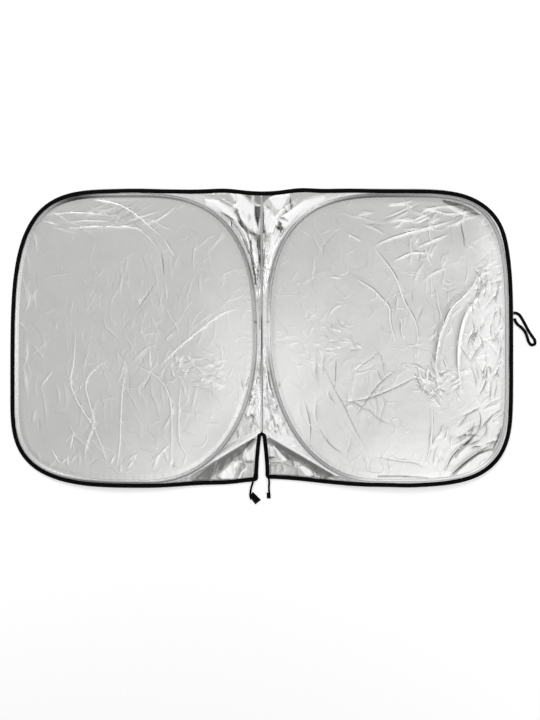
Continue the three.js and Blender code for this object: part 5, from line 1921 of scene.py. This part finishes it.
@dataclass
class Studio:
    """Floor, lamps, world and camera, with lengths in metres."""

    lens: float = 85.0
    camera_at: Spot = (0.0246, -0.0641, 5.071)
    floor_side: float = 40.0
    floor_drop: float = 0.0004
    floor_shade: float = 0.93
    floor_glow: float = 0.17
    world: tuple[tuple[float, float], ...] = (
        (0.0, 0.90), (0.28, 0.75), (0.50, 0.22), (0.78, 0.20), (0.93, 0.60), (1.0, 0.72),
    )

    def camera(self) -> None:
        """Sets the camera straight above the shade."""
        data = bpy.data.cameras.new("camera")
        data.lens = self.lens
        data.clip_end = 50.0
        camera = bpy.data.objects.new("camera", data)
        camera.location = self.camera_at
        bpy.context.scene.collection.objects.link(camera)
        bpy.context.scene.camera = camera

    def floor(self) -> None:
        """Lays the white floor, which keeps the shade's shadow."""
        bpy.ops.object.select_all(action="DESELECT")
        bpy.ops.mesh.primitive_plane_add(size=self.floor_side, location=(0.0, 0.0, -self.floor_drop))
        floor = bpy.context.object
        floor.name = "floor"
        recipe = Recipe("floor_white")
        recipe.tree.nodes.remove(recipe.shader)
        white = (self.floor_shade, self.floor_shade, self.floor_shade, 1.0)
        diffuse = recipe.node("ShaderNodeBsdfDiffuse", None, {"Color": white})
        seen = recipe.node("ShaderNodeLightPath")
        glow = {"Color": (1.0, 1.0, 1.0, 1.0), "Strength": self.floor_glow}
        shine = recipe.node("ShaderNodeEmission", None, glow)
        none = recipe.node("ShaderNodeEmission", None, {"Strength": 0.0})
        direct = Signal(recipe, seen.outputs["Is Camera Ray"]) + Signal(recipe, seen.outputs["Is Glossy Ray"])
        chosen = recipe.node("ShaderNodeMixShader", None, {"Fac": direct})
        recipe.tree.links.new(none.outputs[0], chosen.inputs[1])
        recipe.tree.links.new(shine.outputs[0], chosen.inputs[2])
        both = recipe.node("ShaderNodeAddShader")
        recipe.tree.links.new(diffuse.outputs[0], both.inputs[0])
        recipe.tree.links.new(chosen.outputs[0], both.inputs[1])
        output = next(node for node in recipe.tree.nodes if node.type == "OUTPUT_MATERIAL")
        recipe.tree.links.new(both.outputs[0], output.inputs["Surface"])
        floor.data.materials.append(recipe.material)

    def lamp(self, name: str, place: Spot, size: float, power: float, target: Spot) -> None:
        """Adds one soft box.

        Args:
            name: The lamp's name.
            place: Where it stands, in metres.
            size: The side of its square, in metres.
            power: Its power in watts.
            target: The point that it faces.
        """
        data = bpy.data.lights.new(name, "AREA")
        data.shape, data.size, data.energy = "SQUARE", size, power
        lamp = bpy.data.objects.new(name, data)
        lamp.location = place
        aim = Vector(target) - Vector(place)
        lamp.rotation_euler = aim.to_track_quat("-Z", "Y").to_euler()
        bpy.context.scene.collection.objects.link(lamp)

    def light(self) -> None:
        """Sets the lamps and the world, which is white to the camera and graded by height to all else."""
        for lamp in LAMPS:
            self.lamp(*lamp)
        world = bpy.data.worlds.new("studio")
        bpy.context.scene.world = world
        world.use_nodes = True
        tree = world.node_tree
        background = tree.nodes["Background"]
        place = tree.nodes.new("ShaderNodeTexCoord")
        parts = tree.nodes.new("ShaderNodeSeparateXYZ")
        tree.links.new(place.outputs["Generated"], parts.inputs["Vector"])
        ramp = tree.nodes.new("ShaderNodeValToRGB")
        while len(ramp.color_ramp.elements) < len(self.world):
            ramp.color_ramp.elements.new(0.5)
        for element, (position, level) in zip(ramp.color_ramp.elements, self.world):
            element.position = position
            element.color = (level, level, level, 1.0)
        tree.links.new(parts.outputs["Z"], ramp.inputs["Fac"])
        path = tree.nodes.new("ShaderNodeLightPath")
        seen = tree.nodes.new("ShaderNodeMix")
        seen.data_type = "RGBA"
        tree.links.new(path.outputs["Is Camera Ray"], seen.inputs["Factor"])
        tree.links.new(ramp.outputs["Color"], seen.inputs[6])
        seen.inputs[7].default_value = (1.0, 1.0, 1.0, 1.0)
        tree.links.new(seen.outputs[2], background.inputs["Color"])
        background.inputs["Strength"].default_value = 1.0
        bpy.context.scene.view_settings.view_transform = "Standard"

    def build(self) -> None:
        """Sets up the whole studio."""
        self.camera()
        self.floor()
        self.light()


class Sunshade:
    """The whole shade."""

    def __init__(self) -> None:
        """Lays out both halves and mixes the finishes."""
        self.left = Side(LEFT_HOOP, LEFT_LEG)
        self.right = Side(RIGHT_HOOP, RIGHT_LEG)
        self.cloth = SilverCloth().make()
        self.casing = SilverTape().make()
        self.seam = SilverTape("seam_silver", 7.2, (1.2, 6.0), 3.6).make()
        self.binding = BlackTape("binding_black", thread_row=14.2).make()
        self.elastic = BlackTape("elastic_black", rib=1.4).make()
        self.hook_tape = BlackTape("hook_black", thread_row=2.4, rib=1.1).make()
        self.steel = SpringSteel().make()

    def straps(self) -> None:
        """Makes the storage loop, the ties and their ends."""
        loop = Strap("elastic_loop", STORAGE_LOOP, 9.0, 1.4, 0.225, FarEnd.OBJECT, "storage_loop")
        loop.build(self.elastic)
        loop.declare()
        left = Strap("tie_left", LEFT_TIE, 6.2, 1.2, 0.190, FarEnd.FITTING, "left_tie")
        left.build(self.elastic)
        left.declare([Tab("tie_tab_left", LEFT_TAB, "left_tie_tab").build(self.hook_tape)])
        right = Strap("tie_right", RIGHT_TIE, 6.2, 1.2, 0.168, FarEnd.FITTING, "right_tie")
        right.build(self.elastic)
        right.declare([Tab("tie_tab_right", RIGHT_TAB, "right_tie_tab").build(self.hook_tape)])

    def cloths(self) -> None:
        """Makes the half panels and the flaps."""
        for word, side, folds, crumples, facets, flap_facets, seed in (
            ("left", self.left, LEFT_FOLDS, LEFT_CRUMPLES, LEFT_FACETS, LEFT_FLAP_FACETS, 3),
            ("right", self.right, RIGHT_FOLDS, RIGHT_CRUMPLES, RIGHT_FACETS, RIGHT_FLAP_FACETS, 4),
        ):
            panel = Panel(f"{word}_cloth", side, folds, crumples, facets, seed).build()
            dress(panel, self.cloth, [f"{word}_panel"])
            flap = Flap(f"{word}_flap_cloth", side, flap_facets, seed + 10).build()
            dress(flap, self.cloth, [f"{word}_flap"])

    def tapes(self) -> None:
        """Makes the casings, the binding and the seam tape."""
        for word, side, seed in (("left", self.left, 31), ("right", self.right, 32)):
            casing = Casing(f"{word}_casing_tape", side, seed).build()
            dress(casing, self.casing, [f"{word}_hoop_casing"])
        binding = Binding("binding_tape", self.left, self.right).build()
        dress(binding, self.binding, BINDING_NODES)
        dress(SeamTape().build(), self.seam, ["centre_seam_tape"])

    def wires(self) -> None:
        """Gives the hoop wires and their sleeves their finish."""
        for word in ("left", "right"):
            for part in ("hoop_wire", "hoop_ferrule"):
                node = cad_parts[f"{word}_{part}"]
                node.data.materials.clear()
                node.data.materials.append(self.steel)

    def build(self) -> None:
        """Makes every piece."""
        self.straps()
        self.cloths()
        self.tapes()
        self.wires()


def main() -> None:
    """Builds the studio and the shade."""
    logging.basicConfig(level=logging.INFO, format="%(message)s")
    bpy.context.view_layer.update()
    Studio().build()
    Sunshade().build()


if __name__ == "__main__":
    main()
